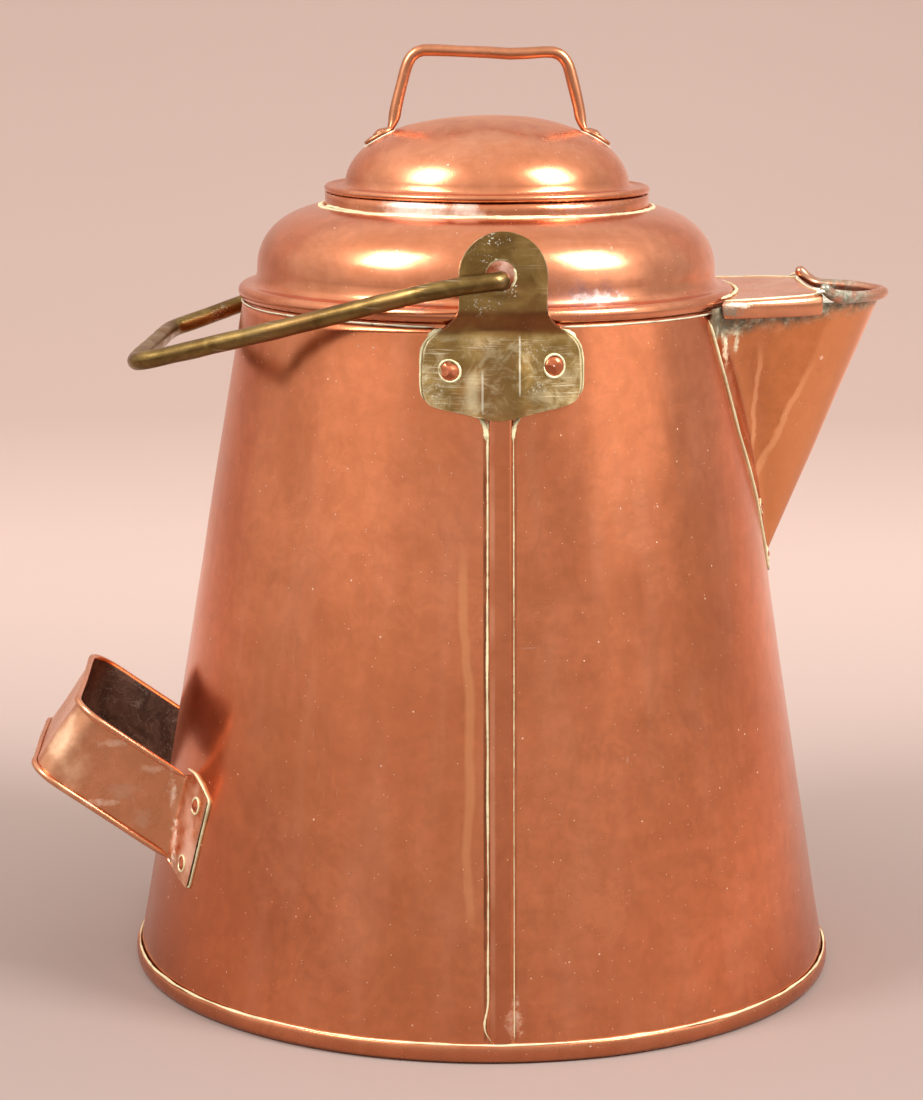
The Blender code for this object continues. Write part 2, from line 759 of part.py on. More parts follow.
def handle_columns():
    """Near half of the strap's run: each entry gives a row across the strap, low edge to high edge."""
    w_low, w_high = HANDLE_MID_W - HANDLE_HALF, HANDLE_MID_W + HANDLE_HALF
    shares = [i / 6.0 for i in range(7)]
    columns = []
    flange = (
        ((152.4, 47.8), (149.5, 85.0)),
        ((154.6, 49.2), (152.2, 89.0)),
        ((158.0, 51.4), (155.2, 92.4)),
    )
    for low, high in flange:
        spots = [between(low, high, f) for f in shares]
        columns.append(([on_body(-azimuth, z, GAP) for azimuth, z in spots], None))
    for ahead in (0.9, 3.4, 20.0, None):
        points = []
        for f in shares:
            w = w_low + (w_high - w_low) * f
            y = HANDLE_LOW_Y + (HANDLE_TOP_Y - HANDLE_LOW_Y) * f
            extra = 1.0 if ahead == 0.9 else 0.0
            start = arm_start(w, y + extra)
            a = HANDLE_END_A - HANDLE_CORNER if ahead is None else start + ahead
            points.append(handle_point(a, w, -y - extra))
        columns.append((points, Vector((0.0, -1.0, 0.0)) if (ahead or 9.0) > 1.0 else None))
    for degrees in (22.5, 45.0, 67.5, 90.0):
        a = math.radians(degrees)
        points = []
        for f in shares:
            w = w_low + (w_high - w_low) * f
            y = HANDLE_LOW_Y + (HANDLE_TOP_Y - HANDLE_LOW_Y) * f - HANDLE_CORNER * (1.0 - math.cos(a))
            points.append(handle_point(HANDLE_END_A - HANDLE_CORNER * (1.0 - math.sin(a)), w, -y))
        out = Vector(handle_point(math.sin(a), 0.0, -math.cos(a)))
        columns.append((points, out))
    return columns


def hemmed(points, out):
    """A strap row with its edges curled outwards. Without a direction the edges stay flat."""
    across = (Vector(points[-1]) - Vector(points[0])).normalized()
    flat = out is None
    row = []
    for end, sign in ((points[0], -1.0), (points[-1], 1.0)):
        curl = []
        for degrees in (0.0, 60.0, 120.0, 180.0, 235.0):
            a = math.radians(degrees)
            step = across * (sign * HEM * math.sin(a))
            lift = (out or Vector((0.0, 0.0, 0.0))) * (HEM * (1.0 - math.cos(a)))
            if flat:
                step = across * (sign * 0.12 * degrees / 60.0)
            curl.append(tuple(Vector(end) + step + lift))
        row.append(curl)
    return row[0][::-1] + points[1:-1] + row[1]


def make_tipping_handle():
    near = [hemmed(points, out) for points, out in handle_columns()]
    far = [[(x, -y, z) for x, y, z in row] for row in near[::-1]]
    middle = [between(a, b, 0.5) for a, b in zip(near[-1], far[0])]
    strap = grid("tipping_handle", near + [middle] + far, COPPER, HANDLE_T)
    holes = []
    for azimuth, z in handle_rivet_spots():
        normal = body_normal(azimuth)
        centre = on_body(azimuth, z)
        holes.append((centre, normal, 1.9, 8.0))
        seat = Vector(centre) + normal * (GAP + HANDLE_T)
        word = ("near" if azimuth < 0 else "far") + ("_high" if z > 70.0 else "_low")
        make_rivet("handle_rivet_" + word, seat, normal, HANDLE_T + GAP + SHEET, 3.0, 1.6)
    bored(strap, "cut_handle", holes)


clear_scene()
POT = new_collection("copper_coffee_pot")
CUTTERS = new_collection("cutters")
make_bottom()
make_body()
make_breast()
make_collar()
make_lid()
make_lug(-1, "near")
make_lug(1, "far")
make_bail()
make_spout()
make_tipping_handle()
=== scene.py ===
"""Copper camp coffee pot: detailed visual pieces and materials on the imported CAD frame.

Sizes in the geometry code are millimetres in the row frame: origin at the centre of the underside,
+Z up, +X along the spout, side seams and bail lugs on -Y (near) and +Y (far).
"""

import math

import bmesh
import bpy
import numpy as np
from mathutils import Matrix, Vector


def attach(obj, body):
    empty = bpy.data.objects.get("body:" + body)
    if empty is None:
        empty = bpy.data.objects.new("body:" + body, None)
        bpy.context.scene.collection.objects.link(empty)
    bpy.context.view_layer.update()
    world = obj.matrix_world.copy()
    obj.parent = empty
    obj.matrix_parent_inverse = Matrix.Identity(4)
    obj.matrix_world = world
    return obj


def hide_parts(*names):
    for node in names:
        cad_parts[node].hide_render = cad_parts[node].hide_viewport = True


MM = 0.001
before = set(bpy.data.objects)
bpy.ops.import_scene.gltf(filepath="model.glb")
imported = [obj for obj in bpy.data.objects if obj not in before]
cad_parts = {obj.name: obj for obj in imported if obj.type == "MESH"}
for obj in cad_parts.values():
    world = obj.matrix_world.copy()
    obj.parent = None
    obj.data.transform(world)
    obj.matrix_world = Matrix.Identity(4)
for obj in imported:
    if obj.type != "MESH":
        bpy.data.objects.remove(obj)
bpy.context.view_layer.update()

POT, LID, BAIL = "pot", "lid", "bail_handle"

# The body cone: where it starts, its height, how far it tapers and how far it is drawn in at mid height.
FOOT_Z, FOOT_R, CONE_HIGH, CONE_TAPER, WAIST = 8.0, 147.5, 275.0, 45.0, 0.5
CONE_LEAN = 0.1636
SEAM_PROUD = 1.3
BODY_TOP_Z = 283.2
# The spout: (x, z) of the gutter's lower tip, the rim's half ellipse, where the bridge ends along X, and the
# flange's half angle in degrees at each height.
SPOUT_APEX = (116.1, 165.0)
RIM_Z, RIM_X, RIM_LONG, RIM_HALF, RIM_POWER = 287.3, 90.0, 78.0, 48.0, 1.65
BRIDGE_END = 136.8
FLANGE_EDGE = ((169.0, 4.0), (171.5, 6.2), (202.0, 12.6), (234.0, 22.5), (280.0, 31.7), (290.0, 32.5))
PIVOT_Z, LUG_HOLE_Z, LUG_HOLE_R = 302.4, 304.2, 5.9
HANDLE_RISE = math.radians(34.5)

# ---- small maths ------------------------------------------------------------------------------------


def unit(v):
    v = np.asarray(v, float)
    return v / (np.linalg.norm(v, axis=-1, keepdims=True) + 1e-12)


def step(x, low, high):
    """Smooth 0 to 1 as x goes from low to high."""
    f = np.clip((np.asarray(x, float) - low) / (high - low), 0.0, 1.0)
    return f * f * (3.0 - 2.0 * f)


def waves(points, length, seed, count=9):
    """Smooth repeatable unevenness of about -1 to 1, with features about length mm long."""
    rng = np.random.default_rng(seed)
    points = np.asarray(points, float)
    total = np.zeros(points.shape[:-1])
    for _ in range(count):
        direction = unit(rng.normal(size=3))
        k = 2.0 * math.pi / (length * rng.uniform(0.7, 1.7))
        total += np.sin(points @ direction * k + rng.uniform(0.0, 2.0 * math.pi))
    return total / math.sqrt(count)


def body_r(z):
    """Outer radius of the body cone, drawn in a little at mid height."""
    up = (np.asarray(z, float) - FOOT_Z) / CONE_HIGH
    return FOOT_R - CONE_TAPER * up - WAIST * np.sin(np.clip(up, 0.0, 1.0) * math.pi)


def dent(points):
    """How far a point of the body sheet stands out of true."""
    return 0.20 * waves(points, 95.0, 3) + 0.05 * waves(points, 32.0, 4)


def polar(r, a, z):
    return np.stack([r * np.cos(a), r * np.sin(a), z + 0.0 * a], -1)


def same(direction, path):
    """One unit direction for every point of a path."""
    return np.repeat([unit(direction)], len(path), axis=0)


def on_body(degrees, z, out=0.0):
    """A point of the body's outer face, or of a face that stands out from it."""
    a = np.radians(degrees)
    return polar(body_r(z) + dent(polar(body_r(z), a, z)) + out, a, z)


def body_normal(degrees):
    a = math.radians(degrees)
    return unit([math.cos(a), math.sin(a), CONE_LEAN])


def rounded(points, radius, per_corner=6):
    """A polyline with its corners rounded."""
    points = [np.asarray(p, float) for p in points]
    out = [points[0]]
    for before, here, after in zip(points, points[1:], points[2:]):
        back = min(radius, np.linalg.norm(before - here) * 0.48)
        forward = min(radius, np.linalg.norm(after - here) * 0.48)
        start = here + unit(before - here) * back
        end = here + unit(after - here) * forward
        for i in range(per_corner + 1):
            f = i / per_corner
            out.append(start * (1 - f) ** 2 + here * 2 * f * (1 - f) + end * f * f)
    out.append(points[-1])
    return np.array(out)


def run_along(points):
    """Distance of each point along a polyline."""
    return np.concatenate([[0.0], np.cumsum(np.linalg.norm(np.diff(points, axis=0), axis=1))])


def resampled(points, spacing):
    """Points at even spacing along a polyline."""
    points = np.asarray(points, float)
    run = run_along(points)
    count = max(2, int(round(run[-1] / spacing)) + 1)
    at = np.linspace(0.0, run[-1], count)
    return np.stack([np.interp(at, run, points[:, i]) for i in range(points.shape[1])], -1)


def softened(points, rounds):
    """Laplacian smoothing along the second-last axis, ends held."""
    points = np.array(points, float)
    for _ in range(rounds):
        points[..., 1:-1, :] = 0.5 * points[..., 1:-1, :] + 0.25 * (points[..., :-2, :] + points[..., 2:, :])
    return points


# ---- meshes -----------------------------------------------------------------------------------------


def make(name, points, faces, body, looks, nodes=()):
    """A mesh piece from mm points that rides on a body and may stand for CAD nodes."""
    mesh = bpy.data.meshes.new(name)
    points = np.asarray(points, float) * MM
    mesh.from_pydata(points.tolist(), [], [tuple(int(i) for i in f) for f in faces])
    mesh.update()
    obj = bpy.data.objects.new(name, mesh)
    bpy.context.scene.collection.objects.link(obj)
    for look in looks if isinstance(looks, list) else [looks]:
        mesh.materials.append(look)
    mesh.polygons.foreach_set("use_smooth", [True] * len(mesh.polygons))
    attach(obj, body)
    if nodes:
        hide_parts(*nodes)
    return obj


def grid_faces(rows, across, wrap_rows=False, wrap_across=False):
    faces = []
    for i in range(rows if wrap_rows else rows - 1):
        for j in range(across if wrap_across else across - 1):
            k, m = (j + 1) % across, (i + 1) % rows
            faces.append((i * across + j, i * across + k, m * across + k, m * across + j))
    return faces


def sheet(name, rows, outward, thickness, body, looks, nodes=(), edge=0.25):
    """A sheet whose given points are its outer face. Outward is a rough direction at its middle."""
    rows = np.asarray(rows, float)
    n, m = rows.shape[:2]
    i, j = n // 2, m // 2
    normal = np.cross(rows[i, j + 1] - rows[i, j - 1], rows[i + 1, j] - rows[i - 1, j])
    faces = grid_faces(n, m)
    if normal @ np.asarray(outward, float) < 0.0:
        faces = [f[::-1] for f in faces]
    obj = make(name, rows.reshape(-1, 3), faces, body, looks, nodes)
    shell = obj.modifiers.new("sheet", "SOLIDIFY")
    shell.thickness = thickness * MM
    shell.offset = -1.0
    shell.use_even_offset = False
    shell.use_quality_normals = True
    if isinstance(looks, list):
        shell.material_offset = 1
    if edge:
        soften_edges(obj, edge)
    return obj


def soften_edges(obj, width, angle=50.0):
    bevel = obj.modifiers.new("edge", "BEVEL")
    bevel.width = width * MM
    bevel.segments = 2
    bevel.limit_method = "ANGLE"
    bevel.angle_limit = math.radians(angle)


def lathe(name, profile, body, looks, nodes=(), segments=160, uneven=None):
    """A turned body. The profile is closed, or open with both ends on the axis."""
    profile = np.asarray(profile, float)
    closed = profile[0][0] > 0.0
    after = np.roll(profile, -1, axis=0)
    if np.sum(profile[:, 0] * after[:, 1] - after[:, 0] * profile[:, 1]) > 0.0:
        profile = profile[::-1]
    angles = np.linspace(0.0, 2.0 * math.pi, segments, endpoint=False)
    r, z = profile[:, 0][:, None], profile[:, 1][:, None]
    points = polar(r, angles, z)
    if uneven is not None:
        points = points + uneven(points)
    count = len(profile)
    faces = grid_faces(count, segments, closed, True)
    flat = points.reshape(-1, 3)
    if not closed:
        top, bottom = len(flat), len(flat) + 1
        ends = np.array([points[0].mean(axis=0), points[-1].mean(axis=0)])
        flat = np.concatenate([flat, ends])
        faces = faces[segments:-segments]
        first, last = segments, (count - 2) * segments
        for j in range(segments):
            k = (j + 1) % segments
            faces.append((top, first + k, first + j))
            faces.append((bottom, last + j, last + k))
        keep = np.ones(len(flat), bool)
        keep[:segments] = False
        keep[(count - 1) * segments:count * segments] = False
        new = np.cumsum(keep) - 1
        flat = flat[keep]
        faces = [tuple(new[i] for i in f) for f in faces]
    faces = [tuple(f)[::-1] for f in faces]
    return face_out(make(name, flat, faces, body, looks, nodes))


def face_out(obj):
    bm = bmesh.new()
    bm.from_mesh(obj.data)
    bmesh.ops.recalc_face_normals(bm, faces=bm.faces)
    bm.to_mesh(obj.data)
    bm.free()
    return obj


def swept(path, section, flip=None):
    """Rings along a path. Section(i, count) gives (side, up) pairs; up starts nearest to flip, or +Z."""
    path = np.asarray(path, float)
    tangents = unit(np.gradient(path, axis=0))
    up = np.asarray(flip if flip is not None else (0.0, 0.0, 1.0), float)
    rings = []
    for i, (point, tangent) in enumerate(zip(path, tangents)):
        guide = up[i] if up.ndim > 1 else up
        guide = unit(guide - tangent * (guide @ tangent))
        if up.ndim == 1:
            up = guide
        side = np.cross(tangent, guide)
        pairs = section(i, len(path))
        rings.append([point + side * a + guide * b for a, b in pairs])
    return np.array(rings)


def capped(name, rings, body, looks, nodes=()):
    """A closed body through rings, with a fan at each end."""
    n, m = rings.shape[:2]
    faces = grid_faces(n, m, False, True)
    points = np.concatenate([rings.reshape(-1, 3), [rings[0].mean(axis=0)], [rings[-1].mean(axis=0)]])
    for j in range(m):
        k = (j + 1) % m
        faces.append((n * m, k, j))
        faces.append((n * m + 1, (n - 1) * m + j, (n - 1) * m + k))
    return face_out(make(name, points, faces, body, looks, nodes))


def worked(rings, amount, length, seed):
    """Rings made slightly uneven, as hand work leaves them."""
    outward = unit(rings - rings.mean(axis=1, keepdims=True))
    return rings + outward * (amount * waves(rings, length, seed))[..., None]


def rod_rings(path, radius, around=24, seed=1, rough=0.06):
    """Rings of a round rod with domed ends and slight hand-worked unevenness."""
    run = run_along(path)
    angles = np.linspace(0.0, 2.0 * math.pi, around, endpoint=False)

    def section(i, count):
        near_end = min(run[i], run[-1] - run[i])
        r = radius * math.sqrt(max(0.06, 1.0 - max(0.0, 1.0 - near_end / (radius * 0.8)) ** 2))
        return [(r * math.cos(a), r * math.sin(a)) for a in angles]

    return worked(swept(path, section), rough, 16.0, seed)


def bead_rings(path, normals, width, height, seed, sink=0.25):
    """Rings of an uneven line of solder lying on a surface."""
    path = np.asarray(path, float)
    rng = np.random.default_rng(seed)
    count = len(path)
    grains = np.convolve(rng.normal(size=count + 8), np.ones(5) / 2.2, "same")[4:4 + count]
    swell = np.clip(1.0 + 0.15 * grains + 0.20 * waves(path, 40.0, seed + 1), 0.35, 2.2)
    taper = np.minimum(1.0, np.minimum(np.arange(count), np.arange(count)[::-1]) / 4.0 + 0.15)
    shift = 0.07 * width * waves(path, 17.0, seed + 2)

    def section(i, _):
        w, h = width / 2 * swell[i] * taper[i], height * (0.6 + 0.4 * swell[i]) * taper[i]
        top = [(w * math.cos(a) + shift[i], h * math.sin(a)) for a in np.linspace(0.0, math.pi, 7)]
        return top + [(-w * 0.7 + shift[i], -sink), (w * 0.7 + shift[i], -sink)]

    return swept(path, section, np.asarray(normals, float))


def solder(name, lines, body, look):
    """One piece made of several solder lines. Each line is (path, normals, width, height, seed)."""
    points, faces, start = [], [], 0
    for path, normals, width, height, seed in lines:
        rings = bead_rings(path, normals, width, height, seed)
        n, m = rings.shape[:2]
        faces += [tuple(i + start for i in f) for f in grid_faces(n, m, False, True)]
        faces.append(tuple(start + j for j in range(m))[::-1])
        faces.append(tuple(start + (n - 1) * m + j for j in range(m)))
        points.append(rings.reshape(-1, 3))
        start += n * m
    return face_out(make(name, np.concatenate(points), faces, body, look))


def placed(point, direction):
    """The matrix that stands a shape on a point, its own Z along the direction."""
    turn = Vector(direction).to_track_quat("Z", "Y").to_matrix().to_4x4()
    return Matrix.Translation(Vector(point) * MM) @ turn


def cut(obj, cutters):
    """Cuts round holes (centre, direction, radius, length) through a piece, ahead of its edge bevel."""
    bm = bmesh.new()
    for centre, direction, radius, length in cutters:
        bmesh.ops.create_cone(bm, cap_ends=True, segments=40, radius1=radius * MM, radius2=radius * MM,
                              depth=length * MM, matrix=placed(centre, direction))
    mesh = bpy.data.meshes.new(obj.name + "_holes")
    bm.to_mesh(mesh)
    bm.free()
    cutter = bpy.data.objects.new(obj.name + "_holes", mesh)
    bpy.context.scene.collection.objects.link(cutter)
    boolean = obj.modifiers.new("holes", "BOOLEAN")
    boolean.object = cutter
    boolean.solver = "EXACT"
    bpy.context.view_layer.update()
    keep = [m.name for m in obj.modifiers]
    if "edge" in keep:
        bpy.context.view_layer.objects.active = obj
        obj.modifiers.move(len(keep) - 1, keep.index("edge"))
    bpy.context.view_layer.update()
    bake_modifiers(obj)
    bpy.data.objects.remove(cutter, do_unlink=True)


def bake_modifiers(obj):
    """Applies the modifiers to the mesh."""
    graph = bpy.context.evaluated_depsgraph_get()
    made = bpy.data.meshes.new_from_object(obj.evaluated_get(graph))
    old = obj.data
    obj.modifiers.clear()
    obj.data = made
    bpy.data.meshes.remove(old)
    made.polygons.foreach_set("use_smooth", [True] * len(made.polygons))
    made.set_sharp_from_angle(angle=math.radians(45.0))


# ---- materials --------------------------------------------------------------------------------------


class Look:
    """A material, or the world, built up in layers from node patterns on object coordinates."""

    def __init__(self, name, kind="materials", shader="Principled BSDF", place="Object"):
        self.data = getattr(bpy.data, kind).new(name)
        self.data.use_nodes = True
        self.tree = self.data.node_tree
        self.shader = self.tree.nodes[shader]
        self.place = self.node("TexCoord", place)
        self.x, self.y, self.z = self.node("SeparateXYZ", None, {0: self.place}).outputs
        self.colour = self.rough = self.normal = None
        self.metal = 1.0

    def link(self, value, socket):
        if hasattr(value, "is_linked"):
            self.tree.links.new(value, socket)
        elif isinstance(value, tuple) and len(socket.default_value) == 4:
            socket.default_value = (*value, 1.0)
        else:
            socket.default_value = value

    def node(self, kind, output, inputs=None, **settings):
        """Adds a node. Returns one of its outputs, or the node itself if output is None."""
        node = self.tree.nodes.new("ShaderNode" + kind)
        for key, value in settings.items():
            setattr(node, key, value)
        for key, value in (inputs or {}).items():
            self.link(value, node.inputs[key])
        return node if output is None else node.outputs[output]

    def stretched(self, scale, turn=(0.0, 0.0, 0.0)):
        return self.node("Mapping", "Vector", {"Vector": self.place, "Scale": scale, "Rotation": turn})

    def noise(self, scale, detail=3.0, rough=0.5, warp=0.0, place=None):
        return self.node("TexNoise", "Fac", {"Vector": place or self.place, "Scale": scale, "Detail": detail,
                                             "Roughness": rough, "Distortion": warp})

    def band(self, value, low, high, start=0.0, end=1.0):
        """Value mapped from low..high to start..end, smooth and held outside."""
        levels = {"Value": value, "From Min": low, "From Max": high, "To Min": start, "To Max": end}
        return self.node("MapRange", "Result", levels, interpolation_type="SMOOTHSTEP")

    def cloud(self, low, high, *noise):
        """Noise mapped to 0 to 1 between two of its levels."""
        return self.band(self.noise(*noise), low, high)

    def cells(self, scale, size, rarity):
        """Small spots: size is their outer and inner radius, rarity the random levels that keep a few."""
        node = self.node("TexVoronoi", None, {"Vector": self.place, "Scale": scale})
        spots = self.band(node.outputs["Distance"], *size)
        return self.times(spots, self.band(node.outputs["Color"], *rarity))

    def maths(self, kind, a, b=0.0):
        return self.node("Math", 0, {0: a, 1: b}, operation=kind)

    def times(self, first, *others):
        for other in others:
            first = self.maths("MULTIPLY", first, other)
        return first

    def plus(self, a, b):
        return self.maths("ADD", a, b)

    def less(self, a, b):
        return self.maths("SUBTRACT", a, b)

    def most(self, a, b):
        return self.maths("MAXIMUM", a, b)

    def mix(self, amount, a, b):
        return self.node("Mix", 2, {"Factor": amount, 6: a, 7: b}, data_type="RGBA")

    def lay(self, mask, amount, tone, rougher=0.0, duller=0.0):
        """Lays a tone over the colour where the mask is, and makes it rougher and less metallic there."""
        mask = self.times(mask, amount)
        self.colour = self.mix(mask, self.colour, tone)
        if rougher:
            self.rough = self.plus(self.rough, self.times(mask, rougher))
        if duller:
            self.metal = self.less(self.metal, self.times(mask, duller))

    def near(self, centre, size):
        """1 inside an ellipsoid in mm, falling to 0 outside it, with a ragged border."""
        ellipsoid = {"Vector": self.place, "Location": scaled(centre, MM), "Scale": scaled(size, MM)}
        inside = self.node("Mapping", "Vector", ellipsoid, vector_type="TEXTURE")
        length = self.node("VectorMath", "Value", {0: inside}, operation="LENGTH")
        large = min(size) > LARGE_STAIN
        border = self.noise(90.0, 5.0, 0.6) if large else self.noise(240.0, 5.0, 0.72)
        ragged = self.plus(length, self.band(border, 0.3, 0.7, -0.4, 0.4))
        patchy = self.band(self.noise(520.0, 4.0, 0.7), 0.32, 0.68, 0.75 if large else 0.35, 1.0)
        return self.times(self.band(ragged, 1.2, 0.0) if large else self.band(ragged, 1.0, 0.4), patchy)

    def line(self, value, centre, half):
        """1 where value is within half of centre, fading quickly outside, in mm."""
        away = self.maths("ABSOLUTE", self.less(value, centre * MM))
        return self.band(away, half * MM, half * 0.3 * MM)

    def between(self, value, low, high, soft):
        """1 between low and high in mm, fading over soft mm inside each end."""
        start = self.band(value, low * MM, (low + soft) * MM)
        return self.times(start, self.band(value, high * MM, (high - soft) * MM))

    def wavered(self, value, amount, *noise):
        """Value, in metres, moved to and fro by up to amount mm."""
        return self.plus(value, self.band(self.noise(*noise), 0.3, 0.7, -amount * MM, amount * MM))

    def bump(self, height, strength, distance):
        """Adds relief over the relief so far."""
        inputs = {"Strength": strength, "Distance": distance, "Height": height}
        if self.normal is not None:
            inputs["Normal"] = self.normal
        self.normal = self.node("Bump", "Normal", inputs)

    def finish(self):
        for socket, value in (("Base Color", self.colour), ("Roughness", self.rough), ("Metallic", self.metal),
                              ("Normal", self.normal)):
            if value is not None:
                self.link(value, self.shader.inputs[socket])
        return self.data


def scaled(tone, share):
    return tuple(c * share for c in tone)


# Half size in mm above which a stain or painted patch has a soft border, and the blue above which its tone is
# laid chalky and non-metallic, as residue, or as the handle flange's painted light.
LARGE_STAIN, CHALKY = 6.5, 0.45
COPPER_BASE, COPPER_BROWN = (0.83, 0.30, 0.148), (0.70, 0.245, 0.115)
STREAK, SCRATCH, SPECK = (0.88, 0.40, 0.25), (0.92, 0.66, 0.52), (0.86, 0.62, 0.47)
BROWN_STAIN, DEEP_BROWN = (0.60, 0.21, 0.10), (0.54, 0.185, 0.080)
PALE_DRIP, GREY_BLOOM = (0.95, 1.0, 0.74), (0.74, 0.60, 0.50)


def copper(name, base=COPPER_BASE, brown=COPPER_BROWN, rough=0.22, stains_and_painted_light=(), extra_layers=None, brush=0.12,
           shade=1.0):
    """Aged, hand-polished copper: cloudy tone, brown patches, specks, hairline scratches and local stain
    patches, a few of which are painted light, shade or reflection.
    """
    look = Look(name)
    base, brown, streak = scaled(base, shade), scaled(brown, shade), scaled(STREAK, shade)
    look.rough = look.band(look.noise(40.0, 6.0, 0.65, 0.5), 0.3, 0.7, rough - 0.02, rough + 0.04)
    look.colour = look.mix(look.cloud(0.34, 0.66, 9.0, 6.0, 0.70, 0.6), brown, base)
    patch = look.cloud(0.50, 0.68, 30.0, 6.0, 0.7, 1.4, look.stretched((1.0, 1.0, 0.6)))
    look.lay(patch, 0.34, scaled(brown, 0.72))
    look.lay(look.cloud(0.34, 0.68, 150.0, 5.0, 0.65, 0.5), 0.38, scaled(brown, 0.80))
    look.lay(look.cloud(0.42, 0.72, 1.0, 4.0, 0.6, 0.3, look.stretched((62.0, 62.0, 5.0))), 0.18, streak)
    wiped = look.stretched((22.0, 22.0, 110.0), (0.12, 0.2, 0.0))
    look.lay(look.cloud(0.46, 0.70, 1.0, 4.0, 0.65, 0.4, wiped), brush, scaled(brown, 0.80))
    steep = look.stretched((900.0, 900.0, 26.0), (0.5, 0.35, 0.2))
    level = look.stretched((60.0, 60.0, 1300.0), (0.25, 0.1, 0.0))
    scratches = look.most(look.cloud(0.70, 0.78, 1.0, 2.0, 0.5, 0.0, steep),
                          look.cloud(0.71, 0.80, 1.0, 2.0, 0.5, 0.0, level))
    look.lay(look.times(scratches, look.cloud(0.45, 0.62, 19.0, 2.0)), 0.22, SCRATCH)
    coarse = look.cells(330.0, (0.16, 0.09), (0.84, 0.90))
    fine = look.cells(850.0, (0.2, 0.1), (0.84, 0.9))
    look.lay(look.most(coarse, fine), 0.75, SPECK, 0.3, 0.6)
    for centre, size, tone, amount in stains_and_painted_light:
        look.lay(look.near(centre, size), amount, tone, 0.28, 0.9 if tone[2] > CHALKY else 0.1)
    # Extra layers: painted shade, painted highlights and painted reflection on some looks, grime on others.
    if extra_layers is not None:
        extra_layers(look)
    look.bump(look.noise(70.0, 3.0, 0.5), 0.10, 0.0005)
    look.bump(look.noise(420.0, 3.0, 0.6), 0.10, 0.00012)
    return look.finish()


def seam_shade(look):
    """Painted shade along both sides of the seam strip, the strip darkened, a painted highlight line on it,
    and a painted highlight streak beside it.
    """
    x, z = look.x, look.z
    # Painted shade: dark lines in the grooves along both sides of the seam strip.
    groove = look.most(look.line(x, -5.9, 0.9), look.times(look.line(x, 6.1, 0.7), 0.5))
    groove = look.times(groove, look.band(look.noise(60.0, 3.0), 0.3, 0.6, 0.4, 0.9))
    look.lay(groove, look.between(z, 8.0, 252.0, 2.0), (0.22, 0.07, 0.03))
    near_side = look.band(look.y, 0.0, -0.01)
    look.lay(look.times(look.between(x, -5.2, 5.6, 0.8), near_side), 0.40, (0.46, 0.13, 0.055))
    # Painted highlight: a pale line along the strip's left half.
    highlight_line = look.times(look.line(x, -3.0, 1.4), near_side, look.cloud(0.3, 0.6, 40.0, 3.0))
    look.lay(highlight_line, 0.45, (0.95, 0.45, 0.28))
    # Painted highlight: a bright orange streak on the body left of the seam.
    bright = look.line(look.wavered(x, 1.6, 22.0, 3.0), -12.8, 2.6)
    look.lay(look.times(bright, look.between(z, 45.0, 205.0, 22.0), near_side), 0.42, (1.0, 0.44, 0.20))


def spout_grime_and_sheen(look):
    """Grey-green grime under the bridge's lip and the rim wire, and a painted reflection on the wall: a
    lighter band, a painted highlight along its edge and a painted highlight streak.
    """
    x, z = look.x, look.z
    facet = look.wavered(look.less(x, look.times(z, 0.42)), 1.2, 60.0, 3.0)
    look.lay(0.22, 1.0, (0.50, 0.19, 0.065))
    # Painted reflection: the wall made lighter beyond a slanted line.
    look.lay(look.band(facet, 0.0222, 0.0252), 0.5, (0.86, 0.36, 0.16))
    # Painted highlight: an orange line along the lighter band's edge.
    ridge_highlight = look.times(look.line(facet, 24.6, 2.2), look.between(z, 195.0, 266.0, 24.0))
    look.lay(ridge_highlight, 0.6, (1.0, 0.50, 0.25))
    # Painted highlight: a vertical orange streak on the wall.
    streak = look.line(look.wavered(x, 0.8, 90.0, 3.0), 110.8, 1.5)
    look.lay(look.times(streak, look.between(z, 212.0, 273.0, 16.0)), 0.7, (1.0, 0.50, 0.26))
    under_lip = look.wavered(look.less(z, look.times(x, 0.13)), 1.6, 75.0, 4.0, 0.6, 0.5)
    broken = look.band(look.noise(330.0, 4.0, 0.7), 0.30, 0.56, 0.72, 1.0)
    tone = look.mix(look.cloud(0.44, 0.68, 260.0, 5.0, 0.75), (0.13, 0.115, 0.07), (0.50, 0.46, 0.33))
    look.lay(look.times(look.band(under_lip, 0.2588, 0.2652), broken), 1.0, tone, 0.25, 0.7)


def rim_grime(look):
    """Solder and grime left on the inner half of the rim wire, but not on its far ear."""
    zone = look.times(look.band(look.x, 0.165, 0.150), look.cloud(0.34, 0.54, 200.0, 4.0, 0.7))
    ear = look.times(look.band(look.x, 0.150, 0.142), look.band(look.y, 0.0, 0.01))
    tone = look.mix(look.cloud(0.36, 0.68, 420.0, 5.0, 0.75), (0.20, 0.19, 0.13), (0.52, 0.50, 0.40))
    look.lay(look.times(zone, look.less(1.0, ear)), 1.0, tone, 0.0, 0.5)


OLIVE, GOLD, RED_BROWN = (0.24, 0.140, 0.042), (0.45, 0.295, 0.100), (0.42, 0.19, 0.075)
# Where a lug is pitted with residue: centre and half sizes in mm.
PITTED = (((5.0, -107.0, 300.0), (4.6, 6.0, 5.0)), ((-8.0, -107.0, 293.5), (8.0, 6.0, 5.0)),
          ((0.0, -107.0, 319.0), (10.0, 6.0, 3.4)), ((-6.0, -107.0, 309.5), (6.0, 6.0, 3.0)))


